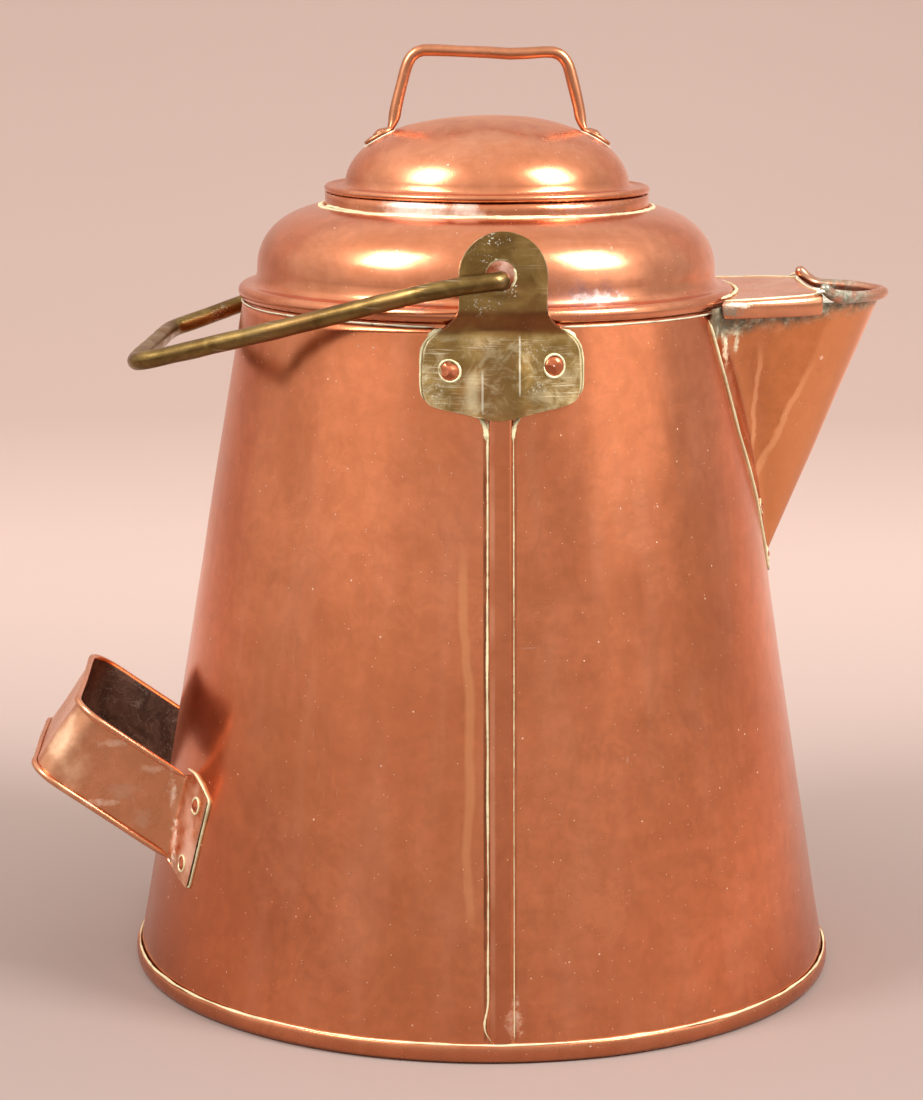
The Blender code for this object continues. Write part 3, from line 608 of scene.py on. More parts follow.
def bronze(name, shade=1.0, lug=False):
    """Dull olive-brown brass with file marks, pits of white residue and edges worn bright."""
    look = Look(name)
    olive, gold, red = (scaled(tone, shade) for tone in (OLIVE, GOLD, RED_BROWN))
    look.colour = look.mix(look.cloud(0.34, 0.68, 60.0, 5.0, 0.6, 0.8), olive, gold)
    look.lay(look.cloud(0.52, 0.66, 34.0, 3.0, 0.5), 0.35, red)
    files = look.cloud(0.56, 0.74, 1.0, 3.0, 0.6, 0.0, look.stretched((34.0, 34.0, 1500.0), (0.0, 0.18, 0.0)))
    marks = look.times(files, look.cloud(0.46, 0.60, 48.0, 2.0))
    look.lay(marks, 0.6, (0.86, 0.74, 0.52))
    edges = look.band(look.node("NewGeometry", "Pointiness"), 0.53, 0.62)
    look.lay(edges, look.band(look.noise(80.0, 3.0), 0.42, 0.60, 0.1, 0.75), (0.80, 0.68, 0.42))
    place = look.band(look.noise(90.0, 2.0), 0.60, 0.68, 0.0, 0.3)
    if lug:
        for centre, size in PITTED:
            place = look.most(place, look.near(centre, size))
        plate_marks(look)
    cells = look.node("TexVoronoi", None, {"Vector": look.place, "Scale": 1150.0}).outputs
    distance = look.plus(cells["Distance"], look.band(look.noise(2300.0, 2.0), 0.3, 0.7, -0.2, 0.2))
    pits = look.times(look.band(distance, 0.50, 0.30), look.band(cells["Color"], 0.52, 0.66))
    look.lay(pits, place, (0.85, 0.84, 0.72), 0.0, 0.8)
    look.rough = look.band(look.noise(120.0, 4.0, 0.6), 0.3, 0.7, 0.27, 0.44)
    look.bump(look.noise(190.0, 4.0, 0.6), 0.30, 0.0004)
    look.bump(marks, 0.18, 0.00015)
    return look.finish()


def plate_marks(look):
    """Marks on a lug: a dark red-brown neck that is painted dark reflection, a worn plate with fine scratches,
    and painted highlights along two creases.
    """
    x, z = look.x, look.z
    plate = look.between(z, 249.0, 281.5, 3.0)
    # Painted dark reflection: the neck darkened red-brown where it bends out from the plate.
    neck = look.band(look.noise(70.0, 4.0, 0.6), 0.25, 0.55, 0.45, 0.85)
    look.lay(look.between(z, 279.5, 293.0, 4.5), neck, (0.24, 0.090, 0.034))
    look.lay(look.times(look.between(x, -6.9, 7.6, 1.6), plate), 0.45, (0.23, 0.130, 0.048))
    worn = look.times(look.between(x, -15.0, -6.9, 3.5), look.between(z, 249.0, 269.0, 6.0))
    look.lay(worn, 0.55, (0.86, 0.72, 0.44))
    look.lay(look.times(look.cloud(0.44, 0.64, 95.0, 5.0, 0.7, 1.0), plate), 0.55, (0.66, 0.53, 0.31))
    curved = look.stretched((70.0, 70.0, 2100.0), (0.0, -0.12, 0.0))
    fine = look.cloud(0.53, 0.70, 1.0, 3.0, 0.6, 0.9, curved)
    look.lay(look.times(fine, plate, look.cloud(0.38, 0.52, 60.0, 2.0)), 0.55, (0.90, 0.80, 0.58))
    # Painted highlights: bright lines along the two creases.
    for place, half, low, high in ((-6.9, 0.6, 250.5, 268.0), (7.6, 0.5, 257.0, 281.5)):
        crease = look.times(look.line(x, place, half), look.between(z, low, high, 2.5))
        look.lay(crease, 0.55, (0.98, 0.93, 0.74))


def dull(name, low, high, flecks=0.5):
    """Unpolished inside faces: scale with grey bloom, paler in the pot's own reflections."""
    look = Look(name)
    look.colour = look.mix(look.cloud(0.35, 0.68, 55.0, 6.0, 0.65, 1.0), low, high)
    look.lay(look.cloud(0.56, 0.70, 120.0, 6.0, 0.75, 1.5), flecks, (0.34, 0.28, 0.24))
    vein = look.noise(70.0, 3.0, 0.5, 3.0)
    vein = look.times(look.band(vein, 0.49, 0.505), look.band(vein, 0.52, 0.505))
    look.lay(vein, flecks * 0.6, (0.45, 0.38, 0.33))
    # Painted reflection: a paler tone that shows only in glossy rays.
    look.lay(look.node("LightPath", "Is Glossy Ray"), 0.85, (0.50, 0.28, 0.19))
    look.rough = look.band(look.noise(80.0, 4.0), 0.3, 0.7, 0.38, 0.62)
    look.metal = 0.55
    look.bump(look.noise(160.0, 5.0, 0.65), 0.45, 0.0006)
    return look.finish()


def solder_look(name, tone, dirt, amount=0.5):
    """Pale solder with polish left in it and dark green grime along parts of it."""
    look = Look(name)
    look.colour = look.mix(look.cloud(0.35, 0.65, 45.0, 3.0), scaled(tone, 0.86), tone)
    look.lay(look.cloud(0.54, 0.68, 150.0, 4.0, 0.6, 0.5), amount, dirt)
    look.rough = look.band(look.noise(210.0, 3.0), 0.3, 0.7, 0.34, 0.60)
    look.metal = 0.25
    look.bump(look.noise(300.0, 4.0, 0.6), 0.5, 0.0004)
    return look.finish()


# Local stains, and a few patches of painted light, shade or reflection marked below: centre and half sizes in
# mm, tone, and how much of the tone shows.
BODY_STAINS = (
    ((5.4, -146.0, 17.0), (4.0, 9.0, 9.0), (0.80, 0.77, 0.62), 0.45),
    ((-60.0, -128.0, 64.0), (16.0, 16.0, 18.0), (0.80, 0.42, 0.26), 0.20),
    ((-40.0, -125.0, 130.0), (26.0, 24.0, 32.0), DEEP_BROWN, 0.50),
    ((-24.0, -138.0, 62.0), (14.0, 14.0, 24.0), DEEP_BROWN, 0.45),
    ((-72.0, -102.0, 190.0), (18.0, 18.0, 30.0), (0.54, 0.190, 0.085), 0.40),
    ((18.0, -135.0, 112.0), (10.0, 14.0, 22.0), (0.56, 0.190, 0.085), 0.35),
    ((-18.0, -118.0, 168.0), (10.0, 10.0, 11.0), (0.92, 0.52, 0.36), 0.35),
    ((-34.0, -97.0, 280.0), (7.0, 7.0, 3.0), (0.66, 0.66, 0.48), 0.60),
    ((28.0, -106.0, 240.0), (9.0, 12.0, 26.0), (0.62, 0.20, 0.09), 0.30),
    ((-36.0, -106.0, 236.0), (14.0, 14.0, 16.0), BROWN_STAIN, 0.45),
    ((-20.0, -112.0, 205.0), (12.0, 12.0, 30.0), (0.58, 0.20, 0.09), 0.45),
    ((24.0, -118.0, 175.0), (16.0, 14.0, 12.0), BROWN_STAIN, 0.40),
    ((-60.0, -122.0, 110.0), (12.0, 16.0, 34.0), BROWN_STAIN, 0.40),
    ((40.0, -130.0, 60.0), (20.0, 16.0, 14.0), (0.62, 0.22, 0.10), 0.40),
)
BREAST_STAINS_AND_PAINTED_SHADOW = (
    ((33.0, -92.0, 294.0), (22.0, 14.0, 8.0), (0.24, 0.13, 0.13), 0.95),
    ((42.0, -90.0, 294.0), (16.0, 10.0, 3.2), (0.86, 0.78, 0.74), 0.55),
    # Painted shadow on the bead left of the lug.
    ((-30.0, -96.0, 291.0), (9.0, 7.0, 3.0), (0.22, 0.13, 0.12), 0.70),
    ((13.0, -93.0, 307.0), (4.0, 7.0, 8.0), (0.62, 0.42, 0.38), 0.35),
    ((2.0, -94.0, 305.0), (8.0, 8.0, 8.0), (0.66, 0.50, 0.43), 0.90),
)
LID_STAINS = (
    ((0.0, 0.0, 364.0), (56.0, 56.0, 19.0), (0.56, 0.28, 0.17), 0.85),
    ((-18.0, -40.0, 348.0), (20.0, 14.0, 5.0), (0.58, 0.26, 0.15), 0.45),
)
COLLAR_STAINS = (
    ((-26.0, -60.0, 325.0), (32.0, 16.0, 6.6), (0.80, 0.74, 0.68), 0.85),
    ((38.0, -54.0, 325.0), (26.0, 24.0, 5.0), (0.34, 0.20, 0.19), 0.60),
)
SPOUT_STAINS = (
    ((97.0, -42.0, 238.0), (6.6, 12.0, 36.0), (0.80, 0.42, 0.28), 0.85),
    ((95.8, -46.0, 269.0), (2.0, 9.0, 9.0), PALE_DRIP, 1.0),
    ((98.6, -46.0, 275.0), (5.5, 9.0, 3.4), (0.93, 0.98, 0.72), 1.0),
    ((100.6, -45.0, 270.5), (1.4, 9.0, 6.0), PALE_DRIP, 1.0),
    ((138.2, -12.0, 256.5), (2.5, 18.0, 2.5), (0.40, 0.06, 0.04), 1.0),
    ((139.0, -12.0, 262.0), (1.1, 18.0, 1.1), (0.95, 0.85, 0.75), 1.0),
)
BRIDGE_STAINS_AND_PAINTED_REFLECTION = (
    ((98.0, -50.0, 285.0), (6.0, 6.0, 5.0), (0.40, 0.39, 0.31), 0.90),
    ((101.0, -50.0, 286.5), (6.0, 6.0, 1.8), (0.88, 0.86, 0.70), 0.90),
    # Painted reflection: the bridge's top tinted pink as if reflecting the backdrop.
    ((104.0, 0.0, 289.0), (16.0, 40.0, 6.0), (0.72, 0.42, 0.33), 0.45),
)
HANDLE_STAINS_AND_PAINTED_LIGHT = (
    ((-152.5, -47.0, 83.6), (9.0, 8.0, 4.6), (0.70, 0.50, 0.38), 0.40),
    ((-155.6, -47.0, 104.6), (8.0, 8.0, 2.2), GREY_BLOOM, 0.45),
    ((-139.7, -47.0, 93.6), (7.0, 8.0, 2.2), GREY_BLOOM, 0.40),
    ((-162.5, -47.0, 78.6), (9.0, 8.0, 2.0), (0.80, 0.72, 0.60), 0.45),
    ((-144.0, -47.0, 72.0), (6.0, 8.0, 5.0), (0.72, 0.54, 0.42), 0.35),
    ((-131.5, -51.0, 70.0), (2.4, 4.0, 24.0), (0.78, 0.66, 0.54), 0.90),
    # Painted light: the strap's flange made paler where its reflection is dark.
    ((-127.0, -62.0, 70.0), (9.0, 12.0, 34.0), (0.84, 0.56, 0.46), 0.60),
    # Painted highlight on the strap's outer corner.
    ((-176.0, -44.0, 103.0), (11.0, 9.0, 19.0), (1.0, 0.68, 0.44), 0.85),
)

BODY_COPPER, BODY_BROWN = (0.80, 0.262, 0.120), (0.66, 0.205, 0.088)
COPPER = copper("aged_copper", BODY_COPPER, BODY_BROWN, 0.22, BODY_STAINS, seam_shade, 0.22)
COPPER_REAR = copper("aged_copper_rear", BODY_COPPER, BODY_BROWN, extra_layers=seam_shade)
COPPER_BREAST = copper("aged_copper_breast", (0.82, 0.33, 0.18), COPPER_BROWN, 0.225, BREAST_STAINS_AND_PAINTED_SHADOW,
                       brush=0.45)
COPPER_LID = copper("aged_copper_lid", (0.82, 0.34, 0.19), COPPER_BROWN, 0.255, LID_STAINS, brush=0.35)
COPPER_COLLAR = copper("aged_copper_collar", rough=0.20, stains_and_painted_light=COLLAR_STAINS)
COPPER_FOOT = copper("aged_copper_foot", rough=0.26, shade=0.85)
COPPER_SPOUT = copper("aged_copper_spout", (0.80, 0.30, 0.125), (0.62, 0.22, 0.085), 0.20, SPOUT_STAINS,
                      spout_grime_and_sheen)
COPPER_BRIDGE = copper("aged_copper_bridge", (0.86, 0.38, 0.20), (0.76, 0.32, 0.17), 0.22, BRIDGE_STAINS_AND_PAINTED_REFLECTION)
COPPER_HANDLE = copper("aged_copper_handle", (0.86, 0.40, 0.225), (0.74, 0.33, 0.17), 0.27, HANDLE_STAINS_AND_PAINTED_LIGHT)
COPPER_WIRE = copper("aged_copper_wire", (0.66, 0.265, 0.135), (0.46, 0.185, 0.09), 0.32)
COPPER_RIM = copper("aged_copper_rim", (0.70, 0.34, 0.22), (0.52, 0.27, 0.17), 0.27, extra_layers=rim_grime)
RIVET = copper("rivet_copper_look", (0.80, 0.27, 0.13), (0.60, 0.17, 0.08), 0.26)
BRONZE = bronze("lug_brass_look", lug=True)
BRONZE_ROD = bronze("bail_brass_look", 0.66)
DARK = dull("inside_scale", (0.040, 0.022, 0.014), (0.17, 0.095, 0.065))
DARK_SPOUT = dull("inside_spout", (0.36, 0.34, 0.25), (0.84, 0.81, 0.66), 0.9)
SOLDER = solder_look("solder_cream", (0.80, 0.74, 0.46), (0.40, 0.32, 0.16))
SOLDER_DARK = solder_look("solder_grimy", (0.74, 0.72, 0.54), (0.24, 0.22, 0.14), 0.8)

# ---- body -------------------------------------------------------------------------------------------


def seam_point(side, across, out, z):
    """Side is -1 near, +1 far. Across runs towards +X, out is away from the cone."""
    a = across / body_r(z)

    def place(r):
        return np.stack([r * np.sin(a), side * r * np.cos(a), z + 0.0 * a], -1)

    return place(body_r(z) + dent(place(body_r(z))) + out)


def strip_shift(z):
    """The fold's free edge wanders a little and kinks where it meets the foot."""
    kink = -1.5 * np.exp(-((z - 15.0) / 5.5) ** 2) + 1.6 * np.exp(-((z - 8.0) / 3.0) ** 2)
    return kink + 0.10 * np.sin(z / 31.0) + 0.03 * np.sin(z / 9.3 + 1.0)


# The folded strip's section, and the edge that is tucked under it: (across, out) in mm.
STRIP = ((-4.0, -0.6), (-4.28, 0.0), (-4.36, 0.5), (-4.22, 0.95), (-3.8, 1.2), (-2.6, 1.3), (-1.2, 1.36),
         (0.4, 1.38), (2.0, 1.34), (3.2, 1.25), (4.0, 1.08), (4.5, 0.78), (4.85, 0.40), (5.2, 0.12),
         (5.8, 0.0))
TUCKED = ((2.5, -0.25), (-2.0, -0.25), (-4.0, -0.2), (-5.2, -0.05), (-6.4, 0.0))
SHEET = 0.7


def make_body():
    """Two half cones. The front sheet's edges are folded over as the strips, over the rear sheet's edges."""
    z = np.concatenate([[1.6, 4.0, 6.6, 7.6, 8.0, 8.5, 9.4], np.linspace(11.5, BODY_TOP_Z, 84)])
    high = step(z, 7.5, 8.4)
    folded = [(across + (strip_shift(z) if across < -2.0 else 0.0), out * high if out > 0.0 else out + 0.0 * z)
              for across, out in STRIP]
    tucked = [(across + 0.0 * z, out) for across, out in TUCKED]
    for word, edge, gap, turn, towards, look in (("front", folded, 6.8, 0.0, 1, COPPER),
                                                 ("rear", tucked, -7.6, -360.0, -1, COPPER_REAR)):
        start = -90.0 + np.degrees(gap / body_r(z))
        rows = [seam_point(-1, across, out, z) for across, out in edge]
        rows += [on_body(start + (turn - 2.0 * start) * f, z) for f in np.linspace(0.0, 1.0, 122)]
        rows += [seam_point(1, across, out, z) for across, out in edge[::-1]]
        name, node = f"pot_{word}_sheet", f"body_{word}_sheet"
        sheet(name, np.stack(rows, 1), (towards, 0, 0), SHEET, POT, [look, DARK], [node], 0.0)
    strainer = []
    for count in range(1, 6):
        for i in range(count):
            degrees = 6.6 * (i - (count - 1) / 2)
            strainer.append((on_body(degrees, 192.0 + 14.0 * count), body_normal(degrees), 3.4, 10.0))
    cut(bpy.data.objects["pot_front_sheet"], strainer)


def arc(r, z, size, start, end, count):
    a = np.radians(np.linspace(start, end, count))
    return [(r + size * math.cos(t), z + size * math.sin(t)) for t in a]


def radial(points, amount):
    """Moves points away from the axis by amount."""
    out = np.zeros_like(points)
    out[..., :2] = unit(points[..., :2]) * np.asarray(amount)[..., None]
    return out


def make_foot():
    profile = [(0.0, 1.2), (147.9, 1.2), (148.5, 2.0), (148.4, 6.9)]
    profile += arc(148.95, 6.75, 0.62, 150.0, 25.0, 6)
    profile += [(149.75, 6.0), (149.92, 5.0), (149.97, 4.0), (149.9, 3.0), (149.6, 1.7), (149.0, 0.7),
                (148.2, 0.12), (147.2, 0.0), (0.0, 0.0)]

    def uneven(p):
        edge = step(np.hypot(p[..., 0], p[..., 1]), 120.0, 149.0)
        move = radial(p, edge * (-0.12 + 0.10 * waves(p, 46.0, 11)))
        move[..., 2] = np.where(p[..., 2] > 5.0, 0.25 * waves(p, 38.0, 12) * edge, 0.0)
        return move

    lathe("pot_bottom_plate", profile, POT, COPPER_FOOT, ["bottom_plate"], 300, uneven)


def ring_line(r, z, normal, width, height, seed, start=0.0, end=360.0, wander=0.2):
    """A solder line round the pot. Normal is (outward, up)."""
    a = np.radians(np.arange(start, end, 0.5))
    path = polar(r, a, z)
    path[:, 2] += wander * waves(path, 34.0, seed)
    outward, up = unit(normal)
    return path, polar(outward, a, up), width, height, seed


def shoulder_line():
    """Outer profile of the breast from the neck opening to the foot of its skirt."""
    line = []
    for a in np.radians(np.linspace(77.0, 0.0, 22)):
        line.append((59.5 + 36.3 * math.cos(a) ** (2 / 2.2), 297.5 + 26.6 * math.sin(a) ** (2 / 2.2)))
    line[0] = (67.9, line[0][1])
    line += [(95.9, 295.4), (96.3, 293.6), (96.9, 292.2), (97.8, 291.35), (98.8, 291.0)]
    line += arc(100.6, 287.8, 3.2, 92.0, -90.0, 16)
    line += [(101.1, 283.9), (101.25, 282.0), (102.4, 276.2)]
    return line


def inner_side(line, thickness=0.8):
    """A profile's other side, running back to its start."""
    along = unit(np.gradient(np.asarray(line, float), axis=0))
    return (line + np.stack([along[:, 1], -along[:, 0]], -1) * thickness)[::-1]


def make_breast():
    def uneven(p):
        above = step(p[..., 2], 283.0, 292.0)
        small = 0.05 * waves(p, 26.0, 21) * step(p[..., 2], 276.0, 284.0)
        return radial(p, above * 0.22 * waves(p, 75.0, 20) + small)

    def collar_uneven(p):
        return radial(p, 0.10 * waves(p, 40.0, 24))

    collar = [(67.6, 328.7), (67.62, 326.0), (67.6, 323.0), (67.7, 321.2), (68.4, 319.8), (71.0, 319.4)]
    for name, line, look, node, segments, shape in (
            ("pot_breast", shoulder_line(), COPPER_BREAST, "breast", 260, uneven),
            ("pot_neck_collar", collar, COPPER_COLLAR, "neck_collar", 200, collar_uneven)):
        lathe(name, np.concatenate([line, inner_side(line)]), POT, look, [node], segments, shape)
    collar_lines = [ring_line(69.6, 323.35, (0.25, 0.95), 1.7, 0.5, 31, wander=0.12),
                    ring_line(68.2, 323.8, (0.6, 0.8), 1.2, 0.4, 32, 190.0, 290.0, 0.2)]
    bead_lines = [ring_line(102.4, 283.6, (0.8, -0.3), 0.7, 0.3, 33, 0.0, 256.0, 0.1),
                  ring_line(102.4, 283.6, (0.8, -0.3), 0.8, 0.35, 34, 284.0, 360.0, 0.1)]
    solder("solder_collar", collar_lines, POT, SOLDER)
    solder("solder_bead", bead_lines, POT, SOLDER_DARK)
    solder("solder_foot", [ring_line(148.5, 7.5, (0.5, 0.86), 1.05, 0.42, 35, wander=0.10)], POT, SOLDER)


def make_seam_lines():
    z = np.arange(8.4, 250.0, 0.8)
    for side, word in ((-1, "near"), (1, "far")):
        lines = []
        for across, width, height, seed in ((-4.75, 1.0, 0.60, 41), (5.35, 0.40, 0.22, 42)):
            place = across + (strip_shift(z) if across < 0.0 else 0.0)
            path = seam_point(side, place, 0.12 + 0.0 * z, z)
            lines.append((path, same((0.0, side, 0.16), z), width, height, seed + 4 * (side > 0)))
        solder("solder_seam_" + word, lines, POT, SOLDER)


# ---- lid --------------------------------------------------------------------------------------------

DOME_Z, DOME_HIGH, DOME_R, DOME_POWER = 330.1, 30.4, 59.45, 2.2


def dome_z(r):
    inside = np.clip(1.0 - (np.asarray(r, float) / DOME_R) ** DOME_POWER, 0.0, 1.0)
    return DOME_Z + DOME_HIGH * inside ** (1 / DOME_POWER)


def dome_normal(r):
    slope = float(dome_z(r + 0.5) - dome_z(r - 0.5))
    return unit([-slope, 0.0, 1.0])


def make_lid():
    radii = 58.9 * np.sin(np.linspace(0.0, math.pi / 2, 30))
    outer = [(r, float(dome_z(r))) for r in radii]
    outer += [(59.25, 333.2), (59.8, 332.4), (60.6, 331.85), (61.8, 331.55), (63.4, 331.45), (64.8, 331.5)]
    inner = inner_side(outer)
    inner[-1, 0] = 0.0
    profile = np.concatenate([outer, arc(66.65, 330.6, 1.45, 140.0, -160.0, 16), inner])

    def uneven(p):
        x, y = p[..., 0], p[..., 1]
        r = np.hypot(x, y)
        top, rim = step(r, 52.0, 20.0), step(r, 60.0, 66.0)
        move = radial(p, rim * (0.12 * waves(p, 45.0, 52) - 0.15))
        move[..., 2] = 0.35 * waves(p, 44.0, 51) * top - 0.5 * np.exp(-((x - 8.0) ** 2 + y ** 2) / 260.0)
        move[..., 2] -= 0.22 * (r / 68.0) * np.sin(np.arctan2(y, x) * 2.0 + 0.6) * step(r, 50.0, 66.0)
        return move

    lathe("lid_dome", profile, LID, COPPER_LID, ["lid_shell"], 240, uneven)
    # The skirt isn't drawn again: the CAD's own mesh stays, in the lid's copper.
    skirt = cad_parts["lid_skirt"]
    if not skirt.data.materials:
        skirt.data.materials.append(COPPER_LID)
    for slot in skirt.material_slots:
        slot.material = COPPER_LID
    make_lid_handle()


def lid_handle_half(side):
    """Stations (x, z, half width, half height, squareness) from the tab's end to the middle of the bar."""
    lift = 1.05
    table = []
    for r, half, high in ((50.4, 1.6, 0.5), (49.8, 3.2, 0.75), (48.6, 4.4, 0.85), (46.4, 5.0, 0.85),
                          (43.6, 5.2, 0.85), (41.4, 4.4, 0.95), (40.2, 3.4, 1.3)):
        normal = dome_normal(r)
        table.append((r + normal[0] * lift, float(dome_z(r)) + normal[2] * lift, half, high))
    table.append((39.4, 357.4, 2.7, 1.9))
    sag = 0.0 if side < 0 else 0.6
    for x, z in ((38.7, 360.0), (38.0, 364.0), (36.8, 369.0), (35.5, 374.0), (34.2, 379.0), (33.2, 382.0),
                 (31.8, 384.4), (29.8, 386.2), (27.2, 387.1), (23.5, 387.2), (17.0, 387.0 - sag * 0.5),
                 (9.0, 386.7 - sag * 0.5)):
        table.append((x, z - sag * step(z, 375.0, 386.0), 2.45, 2.45))
    return [(side * x, z, a, b) for x, z, a, b in table]


def make_lid_handle():
    stations = lid_handle_half(-1) + [(0.0, 386.35, 2.45, 2.4)] + lid_handle_half(1)[::-1]
    stations = resampled(np.array([(x, 0.0, z, a, b) for x, z, a, b in stations]), 1.3)
    angles = np.linspace(0.0, 2.0 * math.pi, 24, endpoint=False)
    tangents = unit(np.gradient(stations[:, :3], axis=0))
    rings = []
    for (x, y, z, a, b), tangent in zip(stations, tangents):
        up = np.cross(tangent, (0.0, 1.0, 0.0))
        square = 0.55 if b < 1.2 else 1.0
        ring = []
        for t in angles:
            c, s = math.cos(t), math.sin(t)
            c = math.copysign(abs(c) ** square, c)
            s = math.copysign(abs(s) ** square, s)
            ring.append(np.array([x, y, z]) + np.array([0.0, 1.0, 0.0]) * a * c + up * b * s)
        rings.append(ring)
    rings = worked(np.array(rings), 0.08, 15.0, 61)
    capped("lid_wire_handle", rings, LID, COPPER_WIRE, ["lid_handle"])
    tab = ((38.6, 3.4), (40.6, 4.4), (42.6, 5.4), (44.6, 5.8), (47.0, 5.4), (49.2, 4.2), (50.8, 2.4),
           (51.4, 0.0))
    tab += tuple((r, -half) for r, half in tab[-2::-1])
    lines = []
    for side, word in ((-1, "rear"), (1, "front")):
        normal = dome_normal(44.0) * (side, 1.0, 1.0)
        seat = np.array([side * 44.0, 0.0, float(dome_z(44.0))]) + normal * 1.9
        name, node = "lid_handle_rivet_" + word, "lid_rivet_" + word
        make_rivet(name, seat, normal, 3.3, 4.0, LID, 70 + side, node, COPPER_WIRE)
        outline = [(side * r, half, float(dome_z(math.hypot(r, half))) + 0.1) for r, half in tab]
        path = resampled(rounded(outline, 1.5, 3), 0.8)
        normals = np.array([dome_normal(math.hypot(p[0], p[1])) * (side, 1.0, 1.0) for p in path])
        lines.append((path, normals, 0.6, 0.3, 73 + side))
    solder("solder_lid_tabs", lines, LID, SOLDER_DARK)


# ---- rivets -----------------------------------------------------------------------------------------


def make_rivet(name, seat, direction, radius, stack, body, seed, node, look=RIVET):
    """A hammered rivet head on its seat, its shank and its inner head."""
    high = radius * 0.40
    profile = [(0.0, high)]
    for t in np.linspace(0.25, 1.0, 7):
        profile.append((radius * t, high * (1.0 - t ** 2.6) + 0.04))
    profile += [(radius * 0.98, -0.1), (radius * 0.55, -0.2), (radius * 0.45, -stack),
                (radius * 0.75, -stack - 0.2), (radius * 0.7, -stack - 0.8), (0.0, -stack - 1.0)]
    mesh = lathe(name, profile, body, look, [node], 28).data
    points = np.empty(len(mesh.vertices) * 3)
    mesh.vertices.foreach_get("co", points)
    points = points.reshape(-1, 3) / MM
    rng = np.random.default_rng(seed)
    top = points[:, 2] > 0.02
    for _ in range(6):
        facet = unit([rng.normal() * 0.30, rng.normal() * 0.30, 1.0])
        depth = points @ facet - high * rng.uniform(0.86, 0.97)
        points -= np.where(top & (depth > 0.0), depth, 0.0)[:, None] * facet
    points += (0.05 * waves(points, 3.0, seed))[:, None] * top[:, None]
    matrix = np.array(placed(seat, direction))
    points = points * MM @ matrix[:3, :3].T + matrix[:3, 3]
    mesh.vertices.foreach_set("co", points.reshape(-1))
    mesh.update()


def ring_round(seat, direction, radius, width, height, seed):
    """A solder ring round a rivet head."""
    direction = unit(direction)
    side = unit(np.cross(direction, (0.0, 0.0, 1.0)))
    other = np.cross(direction, side)
    a = np.linspace(0.0, 2.0 * math.pi, 34)
    uneven = radius * (1.0 + 0.05 * np.sin(2.0 * a + seed))[:, None]
    path = np.asarray(seat) + uneven * (np.cos(a)[:, None] * side + np.sin(a)[:, None] * other)
    return path, same(direction, a), width, height, seed


# ---- lugs and bail ----------------------------------------------------------------------------------

LUG_OUTLINE = (
    (0.0, 248.4), (4.0, 248.7), (9.0, 249.5), (17.0, 251.2), (24.5, 252.9), (28.6, 254.4), (30.7, 257.4),
    (31.2, 262.0), (31.1, 270.0), (30.6, 275.2), (29.0, 278.4), (25.6, 281.3), (21.6, 283.9), (18.9, 286.4),
    (17.6, 289.4), (17.1, 293.0), (17.2, 298.0), (17.35, 304.2),
)
# The lug's middle along X, how far out its upper part stands, and the (out, up) that its plate leans by.
LUG_SHIFT, LUG_TOP_Y, LUG_LEAN = 1.0, 107.0, (101.0, 17.0)


def lug_depth(x, z):
    """How far out the lug's outer face stands."""
    raised = step(x, -13.5, -5.6) * step(x, 14.0, 6.2) * SEAM_PROUD * step(z, 284.0, 276.0)
    plate = np.sqrt(np.maximum((body_r(z) + 2.25 + raised) ** 2 - x * x, 0.0))
    lift = step(z, 281.0, 290.0)
    tilt = 0.012 * (z - 290.0) * step(z, 288.0, 294.0)
    return plate + (LUG_TOP_Y - plate) * lift - tilt


def lug_normal(side, x):
    out, up = LUG_LEAN
    return unit(np.stack([x, side * out + 0.0 * x, up + 0.0 * x], -1))


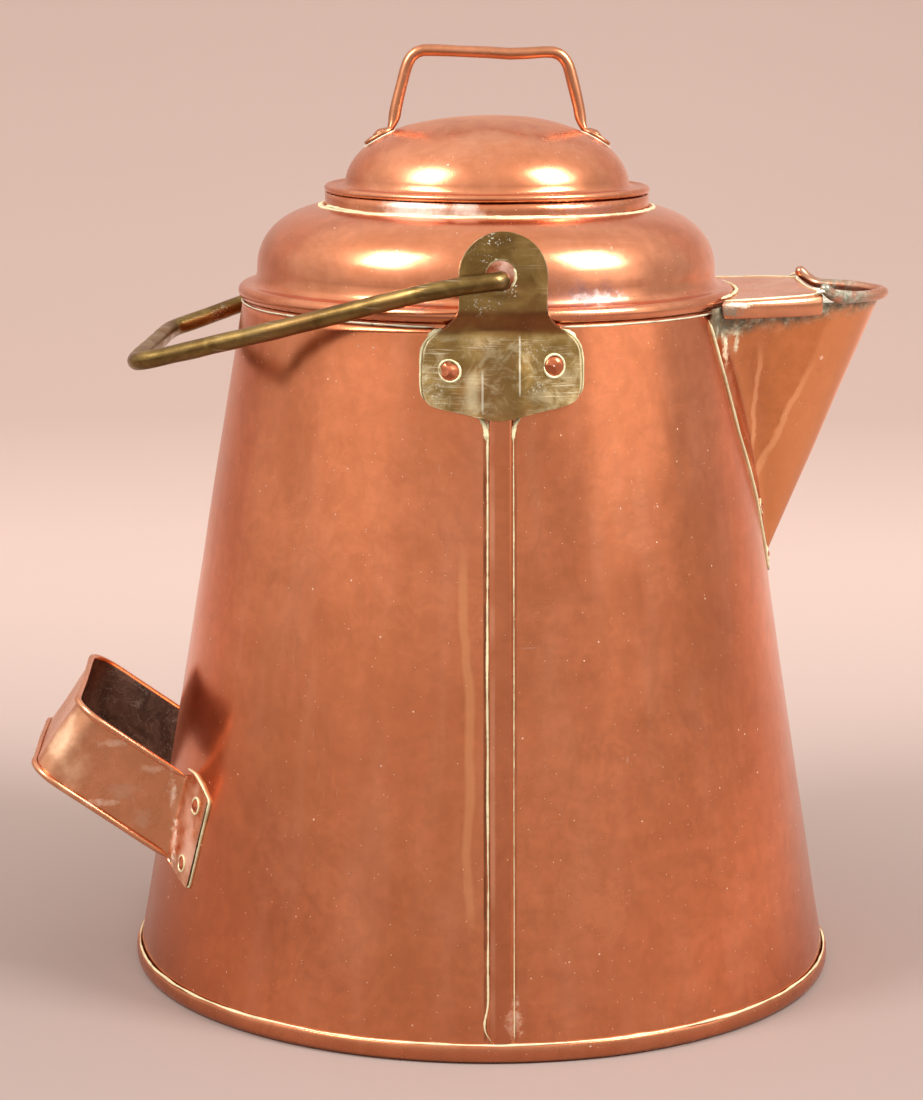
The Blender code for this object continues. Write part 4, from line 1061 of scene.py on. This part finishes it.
def make_lug(side, word):
    outline = rounded(np.array(LUG_OUTLINE), 2.2, 3)
    angles = np.linspace(0.0, math.pi / 2 * 0.985, 26)
    top = [(17.35 * math.cos(a), LUG_HOLE_Z + 17.1 * math.sin(a)) for a in angles]
    outline = np.concatenate([resampled(outline, 1.1)[1:-1], top])
    shares = np.linspace(-1.0, 1.0, 77)
    shares = np.sign(shares) * (1.0 - (1.0 - np.abs(shares)) ** 1.15)
    rows = []
    for half, z in outline:
        x = shares * max(half, 0.4) + LUG_SHIFT
        sag = step(z, 270.0, 256.0) * (0.9 * x / 31.0 + 0.25 * np.sin(x / 5.0 + side))
        y = lug_depth(x, z)
        row = np.stack([x, side * y, z + sag + 0.0 * x], -1)
        row[:, 1] += side * 0.16 * waves(row, 13.0, 80 + side)
        rows.append(row)
    node = "bail_lug_" + word
    lug = sheet("lug_plate_" + word, rows, (0, side, 0), 2.0, POT, BRONZE, [node], 0.0)
    soften_edges(lug, 0.35, 45.0)
    cut(lug, [((0.0, side * 106.0, LUG_HOLE_Z), (0.0, 1.0, 0.0), LUG_HOLE_R, 12.0)])
    lines = []
    for end, name in ((-1, "rear"), (1, "front")):
        z = 268.1 + 0.95 * end
        x = end * 20.4 + 0.8
        direction = lug_normal(side, x)
        seat = np.array([x, side * float(lug_depth(x, z)), z]) + direction * 0.1
        seed, which = end + 3 * side, f"{word}_{name}"
        name, node = "lug_plate_rivet_" + which, "lug_rivet_" + which
        make_rivet(name, seat, direction, 3.85, 3.4, POT, 90 + seed, node)
        lines.append(ring_round(seat - direction * 0.15, direction, 4.25, 0.9, 0.5, 95 + seed))
    edge = resampled(rounded(np.array(LUG_OUTLINE), 2.2, 3), 0.7)
    edge = edge[(edge[:, 1] > 256.0) & (edge[:, 1] < BODY_TOP_Z)]
    shoulder = edge[:, 1] > 278.0
    for end in (-1, 1):
        seed = end + 3 * side
        x = end * (edge[:, 0] + 0.30) + LUG_SHIFT
        z = edge[:, 1] + 0.9 * x / 31.0 * step(edge[:, 1], 270.0, 256.0)
        r = body_r(z) + 0.2
        path = np.stack([x, side * np.sqrt(r * r - x * x), z], -1)
        normals = lug_normal(side, x)
        lines.append((path, normals, 1.25, 1.6, 100 + seed))
        lines.append((path[shoulder] * (1.012, 1.0, 1.0), normals[shoulder], 2.6, 1.0, 104 + seed))
        z = np.arange(249.5, 239.5, -0.5)
        across = end * (5.1 + 3.2 * np.exp(-((249.5 - z) / 2.6) ** 1.2))
        lines.append((seam_point(side, across, 0.15, z), same((0.0, side, 0.16), z), 1.9, 1.0, 108 + seed))
    a = np.radians(np.linspace(-50.0, 30.0, 22))
    path = np.stack([5.7 * np.cos(a), side * 107.15 + 0.0 * a, LUG_HOLE_Z + 5.7 * np.sin(a)], -1)
    lines.append((path, same((0.0, side, 0.0), path), 0.9, 0.3, 112 + side))
    solder("solder_lug_" + word, lines, POT, SOLDER)


def make_bail():
    """The rod, as half its path from the lug hole to the grip, and the far half a little tighter."""
    near = [(0.0, -100.6, 0.0), (0.0, -109.2, 0.0), (-1.4, -111.9, 0.2), (-5.0, -112.6, -0.1),
            (-17.0, -112.6, -1.8), (-33.3, -112.0, -5.0), (-85.0, -84.2, -21.3), (-133.0, -58.3, -35.7),
            (-142.1, -53.5, -38.1), (-145.0, -45.5, -39.3)]
    far = [(x * 0.94 if x < -40.0 else x, -y, z * 0.97) for x, y, z in near]
    path = resampled(rounded(near + far[::-1], 7.0, 7), 1.6)
    path[:, 2] += PIVOT_Z
    rings = rod_rings(path, 3.7, 28, 111, 0.09)
    flat = np.exp(-((path[:, 0] + 33.0) / 13.0) ** 2) * (np.abs(path[:, 1]) > 90.0)
    middle = rings.mean(axis=1, keepdims=True)
    offset = rings - middle
    offset[..., 2] *= (1.0 - 0.05 * flat)[:, None]
    capped("bail_rod", middle + offset, BAIL, BRONZE_ROD, ["bail"])


# ---- spout ------------------------------------------------------------------------------------------


def spout_scale(z):
    return (z - SPOUT_APEX[1]) / (RIM_Z - SPOUT_APEX[1])


def half_ellipse(t, middle, long, half, z):
    """A point of the rim's kind of pointed ellipse. t is 0 at the keel and 90 at the widest, on -Y."""
    a = math.radians(t)
    return middle + long * math.cos(a) ** (2 / RIM_POWER), -half * math.sin(a) ** (2 / RIM_POWER), z


def spout_wall(t, z, out=0.0):
    """A point of the gutter, out from its drawn face."""
    s = spout_scale(z)
    middle = SPOUT_APEX[0] + (RIM_X - SPOUT_APEX[0]) * s
    return half_ellipse(t, middle, (RIM_LONG - 0.7) * s + out, (RIM_HALF - 0.7) * s + out, z)


def spout_clear(z):
    """Radius of the flange's outer face."""
    return 104.9 if z > BODY_TOP_Z else float(body_r(z)) + 1.0


def last_inside(low, high, inside, rounds):
    """Where inside stops holding: the last value that is inside, and the first that isn't."""
    for _ in range(rounds):
        middle = (low + high) / 2
        low, high = (middle, high) if inside(middle) else (low, middle)
    return low, high


def crease_t(z):
    """Where the gutter's wall meets the flange, or 0 below the keel's end."""
    def clear(t):
        return math.hypot(*spout_wall(t, z, 0.8)[:2]) > spout_clear(z)

    return last_inside(0.0, 90.0, clear, 30)[0] if clear(0.0) else 0.0


def flange_edge(z):
    """Half angle of the flange, in degrees."""
    return float(np.interp(z, *zip(*FLANGE_EDGE)))


def spout_half_row(z):
    """Points from the flange's near edge along the flange and the wall, almost to the keel."""
    t_end = crease_t(z)
    crease = 0.0
    if t_end > 0.0:
        x, y, _ = spout_wall(t_end, z, 0.8)
        crease = -math.degrees(math.atan2(y, x))
    edge = max(flange_edge(z), crease + 2.0)
    r = spout_clear(z)
    row = []
    for f in np.linspace(1.0, 0.08, 12):
        a = math.radians(-(crease + (edge - crease) * f))
        row.append((r * math.cos(a), r * math.sin(a), z))
    for i in range(22):
        if t_end > 0.0:
            row.append(spout_wall(t_end * (1.0 - (i / 22.0) ** 1.1), z, 0.8))
        else:
            a = math.radians(-edge * 0.08 * (1.0 - i / 22.0))
            row.append((r * math.cos(a), r * math.sin(a), z))
    return row


def make_spout():
    rows = []
    heights = [169.0, 170.2, 171.5, 173.0, 174.5, 175.4, 176.4, *np.linspace(178.0, 285.6, 48)]
    for z in heights:
        half = spout_half_row(z)
        keel = spout_wall(0.0, z, 0.8) if crease_t(z) > 0.0 else (spout_clear(z), 0.0, z)
        rows.append(half + [keel] + [(x, -y, h) for x, y, h in half[::-1]])
    rows = np.array(rows)
    soft = softened(rows, 6)
    amount = step(rows[..., 2], 172.0, 190.0)[..., None]
    rows = rows + (soft - rows) * amount
    out = unit(rows - np.array([100.0, 0.0, 0.0]) * (1, 1, 0) - rows * (0, 0, 1))
    away = step(np.hypot(rows[..., 0], rows[..., 1]) - body_r(rows[..., 2]), 3.0, 12.0)
    rows = rows + out * (0.25 * waves(rows, 38.0, 121) * away)[..., None]
    looks = [COPPER_SPOUT, DARK_SPOUT]
    sheet("spout_gutter", rows, (1, 0, 0), 0.75, POT, looks, ["spout_shell"], 0.2)
    lines = []
    for side in (-1, 1):
        zs = np.arange(169.2, 282.0, 0.8)
        a = np.radians([side * (max(flange_edge(z), 4.0) + 0.15) for z in zs])
        lines.append((polar(body_r(zs) + 0.25, a, zs), unit(polar(1.0, a, 0.16)), 1.1, 0.95, 131 + side))
        for degrees, level in ((4.3, 176.0), (8.6, 198.0)):
            word = ("near" if side < 0 else "far") + ("_low" if level < 185 else "_high")
            direction = body_normal(side * degrees)
            seat = on_body(side * degrees, level) + direction
            name, node, seed = "spout_flange_rivet_" + word, "spout_rivet_" + word, side + int(level)
            make_rivet(name, seat, direction, 2.8, 1.9, POT, 140 + seed, node)
            lines.append(ring_round(seat - direction * 0.05, direction, 3.2, 0.9, 0.5, 150 + seed))
    a = np.radians(np.arange(-3.9, 4.0, 0.4))
    lines.append((polar(body_r(168.9) + 0.3, a, 168.9), polar(1.0, a, 0.0), 1.0, 0.9, 137))
    solder("solder_spout_flange", lines, POT, SOLDER)
    make_rim_wire()
    make_bridge()


def rim_point(t):
    return half_ellipse(t, RIM_X, RIM_LONG, RIM_HALF, RIM_Z)


def make_rim_wire():
    """The wire round the lip, its ends turned up as ears, with lumps of solder at the ears and inside."""
    near = [(136.6, -34.4, 293.4), (138.0, -34.0, 291.6), (140.4, -32.8, 289.4), (143.4, -31.0, 287.8),
            (146.4, -28.9, RIM_Z)]
    far = [(136.3, 34.6, 294.0), (137.9, 34.2, 292.4), (140.6, 32.9, 289.6), (143.6, 31.0, 287.7),
           (146.4, 28.9, RIM_Z)]
    arcs = [rim_point(t) for t in np.linspace(39.0, 0.0, 34)]
    path = near + arcs + [(x, -y, z) for x, y, z in arcs[::-1][1:]] + far[::-1]
    path = softened(resampled(np.array(path), 1.1), 8)
    path[:, 2] += 0.2 * waves(path, 28.0, 161)
    capped("spout_wire", rod_rings(path, 2.42, 22, 162, 0.12), POT, COPPER_RIM, ["spout_rim_wire"])
    blobs = []
    for side, seed in ((-1, 171), (1, 172)):
        path = np.array([(133.5, side * 36.6, 290.3), (135.0, side * 36.1, 290.8), (136.8, side * 35.3, 291.0),
                         (138.4, side * 34.6, 290.4), (140.4, side * 33.6, 289.2)])
        path = resampled(path, 0.7)
        blobs.append((path, same((0.2, side * 0.3, 1.0), path), 2.4, 0.9, seed))
    inner = np.array([np.array(rim_point(t)) + (-1.2, 1.6, -1.5) for t in np.linspace(36.0, 6.0, 40)])
    blobs.append((inner, same((-0.4, 0.6, 0.7), inner), 1.8, 0.8, 173))
    solder("solder_spout_rim", blobs, POT, SOLDER_DARK)


def bridge_half(x, z):
    s = spout_scale(z)
    middle = SPOUT_APEX[0] + (RIM_X - SPOUT_APEX[0]) * s
    share = max(0.0, min(1.0, (x - middle) / (RIM_LONG * s)))
    return RIM_HALF * s * (1.0 - share ** RIM_POWER) ** (1.0 / RIM_POWER)


def make_bridge():
    """The sheet over the back of the spout, its sides rolled down outside the gutter."""
    lip = ((280.6, 281.0, 1.7), (281.1, 281.5, 2.5), (282.4, 282.9, 3.0), (284.2, 284.8, 3.15),
           (286.0, 286.8, 2.95), (287.2, 288.5, 2.5), (287.9, 289.6, 1.5), (288.3, 290.2, 0.1))
    rows = []
    for f in np.linspace(0.0, 1.0, 30):
        near = []
        for rear_z, front_z, out in lip:
            z = rear_z + (front_z - rear_z) * f
            half = bridge_half(95.0 + (BRIDGE_END - 95.0) * f, min(z, 286.0)) + out
            rear_x = math.sqrt(106.4 ** 2 - half ** 2) - 0.5
            near.append((rear_x + (BRIDGE_END - rear_x) * f, -half, z))
        half = -near[-1][1]
        top = []
        for share in np.linspace(-0.93, 0.93, 27):
            y = share * half
            rear_x = math.sqrt(104.6 ** 2 - y * y)
            front_x = BRIDGE_END - 3.2 * (1.0 - share ** 4)
            dish = -0.7 * (1.0 - share ** 2) * math.sin(math.pi * min(1.0, f * 1.1))
            top.append((rear_x + (front_x - rear_x) * f, y, near[-1][2] + dish + 0.25 * (1.0 - share ** 2)))
        rows.append(near + top + [(x, -y, z) for x, y, z in near[::-1]])
    rows = softened(np.array(rows), 1)
    rows[..., 2] += 0.15 * waves(rows, 24.0, 181)
    looks = [COPPER_BRIDGE, DARK_SPOUT]
    sheet("spout_bridge_sheet", rows, (0, 0, 1), 0.8, POT, looks, ["spout_bridge"])
    lines = []
    a = np.radians(np.arange(-27.0, 27.1, 0.5))
    lines.append((polar(104.7, a, 289.2), same((0.3, 0.0, 1.0), a), 1.6, 0.7, 183))
    # Pale lines along the lips' top edges, built as solder, stand in for the lips' highlight: painted
    # highlight.
    for side in (-1, 1):
        path = resampled(rows[:, 7 if side < 0 else -8, :] + (0.0, side * 0.3, 0.0), 0.8)
        lines.append((path, same((0.0, side * 0.8, 0.8), path), 1.0, 0.3, 184 + side))
    front = resampled(rows[-1, 8:-8, :] + (0.3, 0.0, 0.0), 0.8)
    lines.append((front, same((0.6, 0.0, 0.8), front), 1.1, 0.4, 187))
    solder("solder_bridge", lines, POT, SOLDER)


# ---- tipping handle ---------------------------------------------------------------------------------


def handle_point(a, w, y):
    """A point at distance a out from the axis along the handle's rise and w across it."""
    c, s = math.cos(HANDLE_RISE), math.sin(HANDLE_RISE)
    return np.array([-a * c + w * s, y, a * s + w * c])


# The strap's reach from the axis, its edges across the rise and its corner radius. Its ends lie on the body
# at an angle and height for each edge. Where it leaves the body it starts flat and spread out:
# (mm ahead, mm of spread, share of the hem).
REACH, STRAP_LOW, STRAP_HIGH, CORNER = 208.0, -30.4, 3.0, 11.5
STRAP_ENDS = ((152.0, 47.6, 149.0, 84.6), (153.2, 48.4, 150.4, 86.4), (155.0, 49.4, 152.6, 89.6),
              (156.6, 50.6, 154.2, 91.6), (158.0, 51.4, 155.4, 92.4), (159.2, 52.4, 156.4, 92.2))
LEAVING = ((0.5, 1.6, 0.05), (1.2, 0.5, 0.2), (2.6, 0.0, 0.6), (5.0, 0.0, 0.95), (9.0, 0.0, 1.0),
           (15.0, 0.0, 1.0), (22.0, 0.0, 1.0), (30.0, 0.0, 1.0))


def strap_w(share):
    return STRAP_LOW + (STRAP_HIGH - STRAP_LOW) * share


def strap_y(share):
    return 45.5 + 3.5 * share


def arm_start(share):
    """How far from the axis an arm leaves the body."""
    def inside(a):
        x, _, z = handle_point(a, strap_w(share), strap_y(share))
        return math.hypot(x, strap_y(share)) < float(body_r(z)) + 0.4

    return last_inside(60.0, REACH, inside, 40)[1]


def handle_columns(shares):
    """Near half of the strap: (points across it, outward direction, hem size) at each place along it."""
    columns = []
    for low_a, low_z, high_a, high_z in STRAP_ENDS:
        points = [on_body(-(low_a + (high_a - low_a) * f), low_z + (high_z - low_z) * f, 0.35) for f in shares]
        columns.append((points, unit((points[len(points) // 2] * (1, 1, 0)) + (0, 0, 20.0)), 0.0))

    def across(distance, inward, outward, hem):
        points = [handle_point(distance(f), strap_w(f), inward - strap_y(f)) for f in shares]
        columns.append((points, outward, hem))

    beside = np.array([0.0, -1.0, 0.0])
    for ahead, spread, hem in LEAVING:
        across(lambda f, ahead=ahead: arm_start(f) + ahead, -spread, beside, hem)
    for run in (0.3, 0.55, 0.8):
        ends = (1.0 - run, (REACH - CORNER) * run)
        across(lambda f, ends=ends: (arm_start(f) + 30.0) * ends[0] + ends[1], 0.0, beside, 1.0)
    for t in np.radians(np.linspace(0.0, 90.0, 10)):
        distance = REACH - CORNER * (1.0 - math.sin(t))
        turned = handle_point(math.sin(t), 0.0, -math.cos(t))
        across(lambda f, distance=distance: distance, CORNER * (1.0 - math.cos(t)), turned, 1.0)
    for y in (-30.0, -22.0, -14.0, -7.0):
        bow = 1.4 * step(y, -32.0, -14.0)
        points = [handle_point(REACH - bow * math.sin(math.pi * f), strap_w(f), y) for f in shares]
        columns.append((points, handle_point(1.0, 0.0, 0.0), 0.85))
    return columns


HEM_POINTS, HEM_SIZE = 11, 1.4


def hemmed(points, out, hem):
    """One row across the strap, its edges curled outwards."""
    points = np.array(points)
    across = unit(points[-1] - points[0])
    curls = []
    for end, sign in ((points[0], -1.0), (points[-1], 1.0)):
        curl = []
        for i in range(HEM_POINTS):
            t = math.radians(min(28.0 * i, 278.0))
            curled = across * (sign * HEM_SIZE * math.sin(t)) + out * (HEM_SIZE * (1.0 - math.cos(t)))
            flat = across * (sign * 0.05 * math.degrees(t) / 28.0)
            curl.append(end + curled * hem + flat * (1.0 - hem))
        curls.append(curl)
    return np.array(curls[0][::-1] + list(points[1:-1]) + curls[1])


def make_tipping_handle():
    shares = np.linspace(0.0, 1.0, 15)
    near = [hemmed(*column) for column in handle_columns(shares)]
    far = [row * (1, -1, 1) for row in near[::-1]]
    middle = (near[-1] + far[0]) / 2
    rows = np.array(near + [middle] + far)
    rows = np.swapaxes(softened(np.swapaxes(rows, 0, 1), 1), 0, 1)
    away = step(np.hypot(rows[..., 0], rows[..., 1]) - body_r(rows[..., 2]), 3.0, 16.0)
    rows = rows + (0.35 * waves(rows, 30.0, 191) * away)[..., None] * np.array([-0.6, 0.3, 0.5])
    # The drawn rows are the inner face, so the look that goes on the outer face comes second.
    inward = (0.8, 0.0, -0.5)
    looks = [DARK, COPPER_HANDLE]
    strap = sheet("tipping_strap", rows, inward, 0.9, POT, looks, ["tipping_handle"])
    across = rows.shape[1] - 1
    for polygon in strap.data.polygons:
        if not HEM_POINTS - 2 < polygon.index % across < across - HEM_POINTS + 1:
            polygon.material_index = 1
    lines = []
    for side, word in ((-1, "near"), (1, "far")):
        edge = [(159.6, 93.0), (155.4, 93.2), (152.4, 90.6), (148.6, 85.2), (151.6, 47.2), (154.8, 48.6),
                (158.4, 51.0)]
        degree_mm = (2.2, 1.0)
        path = resampled(rounded(edge, 1.5, 4) * degree_mm, 0.7) / degree_mm
        points = np.array([on_body(side * a, z, 0.15) for a, z in path])
        normals = np.array([body_normal(side * a) for a, _ in path])
        lines.append((points, normals, 0.95, 0.9, 201 + side))
        for azimuth, z in ((152.8, 81.0), (155.0, 55.8)):
            direction = body_normal(side * azimuth)
            seat = on_body(side * azimuth, z, 0.35) + direction * 0.95
            which, seed = word + ("_high" if z > 70.0 else "_low"), side + int(z)
            name, node = "handle_strap_rivet_" + which, "handle_rivet_" + which
            make_rivet(name, seat, direction, 2.9, 2.2, POT, 210 + seed, node)
            lines.append(ring_round(seat - direction * 0.05, direction, 3.15, 0.75, 0.5, 220 + seed))
    solder("solder_tipping_handle", lines, POT, SOLDER)


# ---- studio -----------------------------------------------------------------------------------------

PAPER = (0.765, 0.583, 0.516)
BACKDROP = (1.6, 0.9, 2.6)


def paper():
    """Pale paper, painted darker round the pot than further back: painted shade. In the pot's reflections its
    front is painted darker still,
    """
    look = Look("backdrop_paper")
    back = look.y
    # Painted shade: the paper darkened from the back towards the front, and a little up the wall.
    fall = look.times(look.band(back, -0.10, 1.05, 0.385, 1.0), look.band(back, 1.2, 2.6, 1.0, 0.82))
    tone = look.mix(look.cloud(0.3, 0.7, 1.2, 3.0), scaled(PAPER, 0.985), PAPER)
    look.colour = look.mix(fall, (0.0, 0.0, 0.0), tone)
    reflected = look.node("LightPath", "Is Glossy Ray")
    # Painted shade seen only in reflections: the paper's front darker.
    look.lay(look.band(back, 0.2, -0.7, 0.05, 0.6), reflected, (0.10, 0.07, 0.06))
    # Painted glow seen only in reflections: the back, the right and the upper left emit a little light.
    behind = look.times(look.band(back, 0.1, 1.3, 0.0, 0.28), look.band(look.x, -0.9, 0.9))
    right = look.times(look.band(look.x, 0.08, 0.5, 0.0, 0.28), look.band(back, 0.5, 0.0))
    upper_left = look.times(look.band(look.z, 0.3, 1.3, 0.0, 0.30), look.band(look.x, 0.3, -0.6))
    glow = look.times(look.plus(look.plus(behind, right), upper_left), reflected)
    look.link((0.98, 0.80, 0.70), look.shader.inputs["Emission Color"])
    look.link(glow, look.shader.inputs["Emission Strength"])
    look.rough, look.metal = 0.9, 0.0
    return look.finish()


def make_stage():
    """A pale floor that curves up into a backdrop."""
    depth, radius, height = BACKDROP
    curve = [(-3.2, 0.0), (1.0, 0.0)]
    for t in np.linspace(0.0, math.pi / 2, 14):
        curve.append((depth + radius * math.sin(t), radius * (1.0 - math.cos(t))))
    curve += [(depth + radius, height)]
    points = [(x, y, z) for y, z in curve for x in (-4.0, 4.0)]
    faces = [(2 * i, 2 * i + 1, 2 * i + 3, 2 * i + 2) for i in range(len(curve) - 1)]
    mesh = bpy.data.meshes.new("backdrop")
    mesh.from_pydata(points, [], faces)
    mesh.polygons.foreach_set("use_smooth", [True] * len(faces))
    mesh.materials.append(paper())
    obj = bpy.data.objects.new("backdrop", mesh)
    bpy.context.scene.collection.objects.link(obj)


def softbox(name, azimuth, elevation, distance, width, height, power):
    """An area light facing the pot. Azimuth 0 is on the camera's side, towards +X is positive."""
    a, e = math.radians(azimuth), math.radians(elevation)
    target = Vector((0.0, 0.0, 0.30))
    place = target + Vector((math.sin(a) * math.cos(e), -math.cos(a) * math.cos(e), math.sin(e))) * distance
    light = bpy.data.lights.new(name, "AREA")
    light.shape = "RECTANGLE"
    light.size, light.size_y = width, height
    light.energy = power
    obj = bpy.data.objects.new(name, light)
    obj.location = place
    obj.rotation_mode = "QUATERNION"
    obj.rotation_quaternion = (target - place).to_track_quat("-Z", "Y")
    bpy.context.scene.collection.objects.link(obj)


def make_lights():
    """Two softboxes high at the sides, two faint ones low, and a pale world, brighter overhead and left."""
    softbox("softbox_left", -58.0, 39.0, 1.15, 0.35, 0.50, 11.9)
    softbox("softbox_right", 58.0, 39.0, 1.15, 0.35, 0.50, 15.8)
    softbox("softbox_low_left", -58.0, 10.0, 1.3, 0.9, 0.42, 0.36)
    softbox("softbox_low_right", 60.0, 10.0, 1.3, 0.9, 0.42, 0.90)
    look = Look("studio", "worlds", "Background", "Generated")
    strength = look.times(look.band(look.z, 0.0, 0.80, 0.77, 1.16), look.plus(look.times(look.x, -0.13), 1.0))
    tint = look.mix(look.node("LightPath", "Is Camera Ray"), (0.92, 0.86, 0.81), (1.0, 0.80, 0.70))
    look.link(strength, look.shader.inputs["Strength"])
    look.link(tint, look.shader.inputs["Color"])
    bpy.context.scene.world = look.data


def make_camera():
    """The photograph's camera, found from the foot's ellipse and the cone's sides."""
    camera = bpy.data.cameras.new("camera")
    camera.lens = 101.93
    camera.sensor_width = camera.sensor_height = 36.0
    camera.clip_end = 30.0
    obj = bpy.data.objects.new("camera", camera)
    pan, tilt, roll = (math.radians(degrees) for degrees in (-2.572, 90.0 - 10.746, 0.343))
    turn = Matrix.Rotation(pan, 4, "Z") @ Matrix.Rotation(tilt, 4, "X") @ Matrix.Rotation(roll, 4, "Z")
    obj.matrix_world = Matrix.Translation((-0.06842, -1.30548, 0.42436)) @ turn
    bpy.context.scene.collection.objects.link(obj)
    bpy.context.scene.camera = obj


make_foot()
make_body()
make_breast()
make_seam_lines()
make_lid()
make_lug(-1, "near")
make_lug(1, "far")
make_bail()
make_spout()
make_tipping_handle()
make_stage()
make_lights()
make_camera()
bpy.context.scene.view_settings.view_transform = "Standard"

bpy.context.view_layer.update()
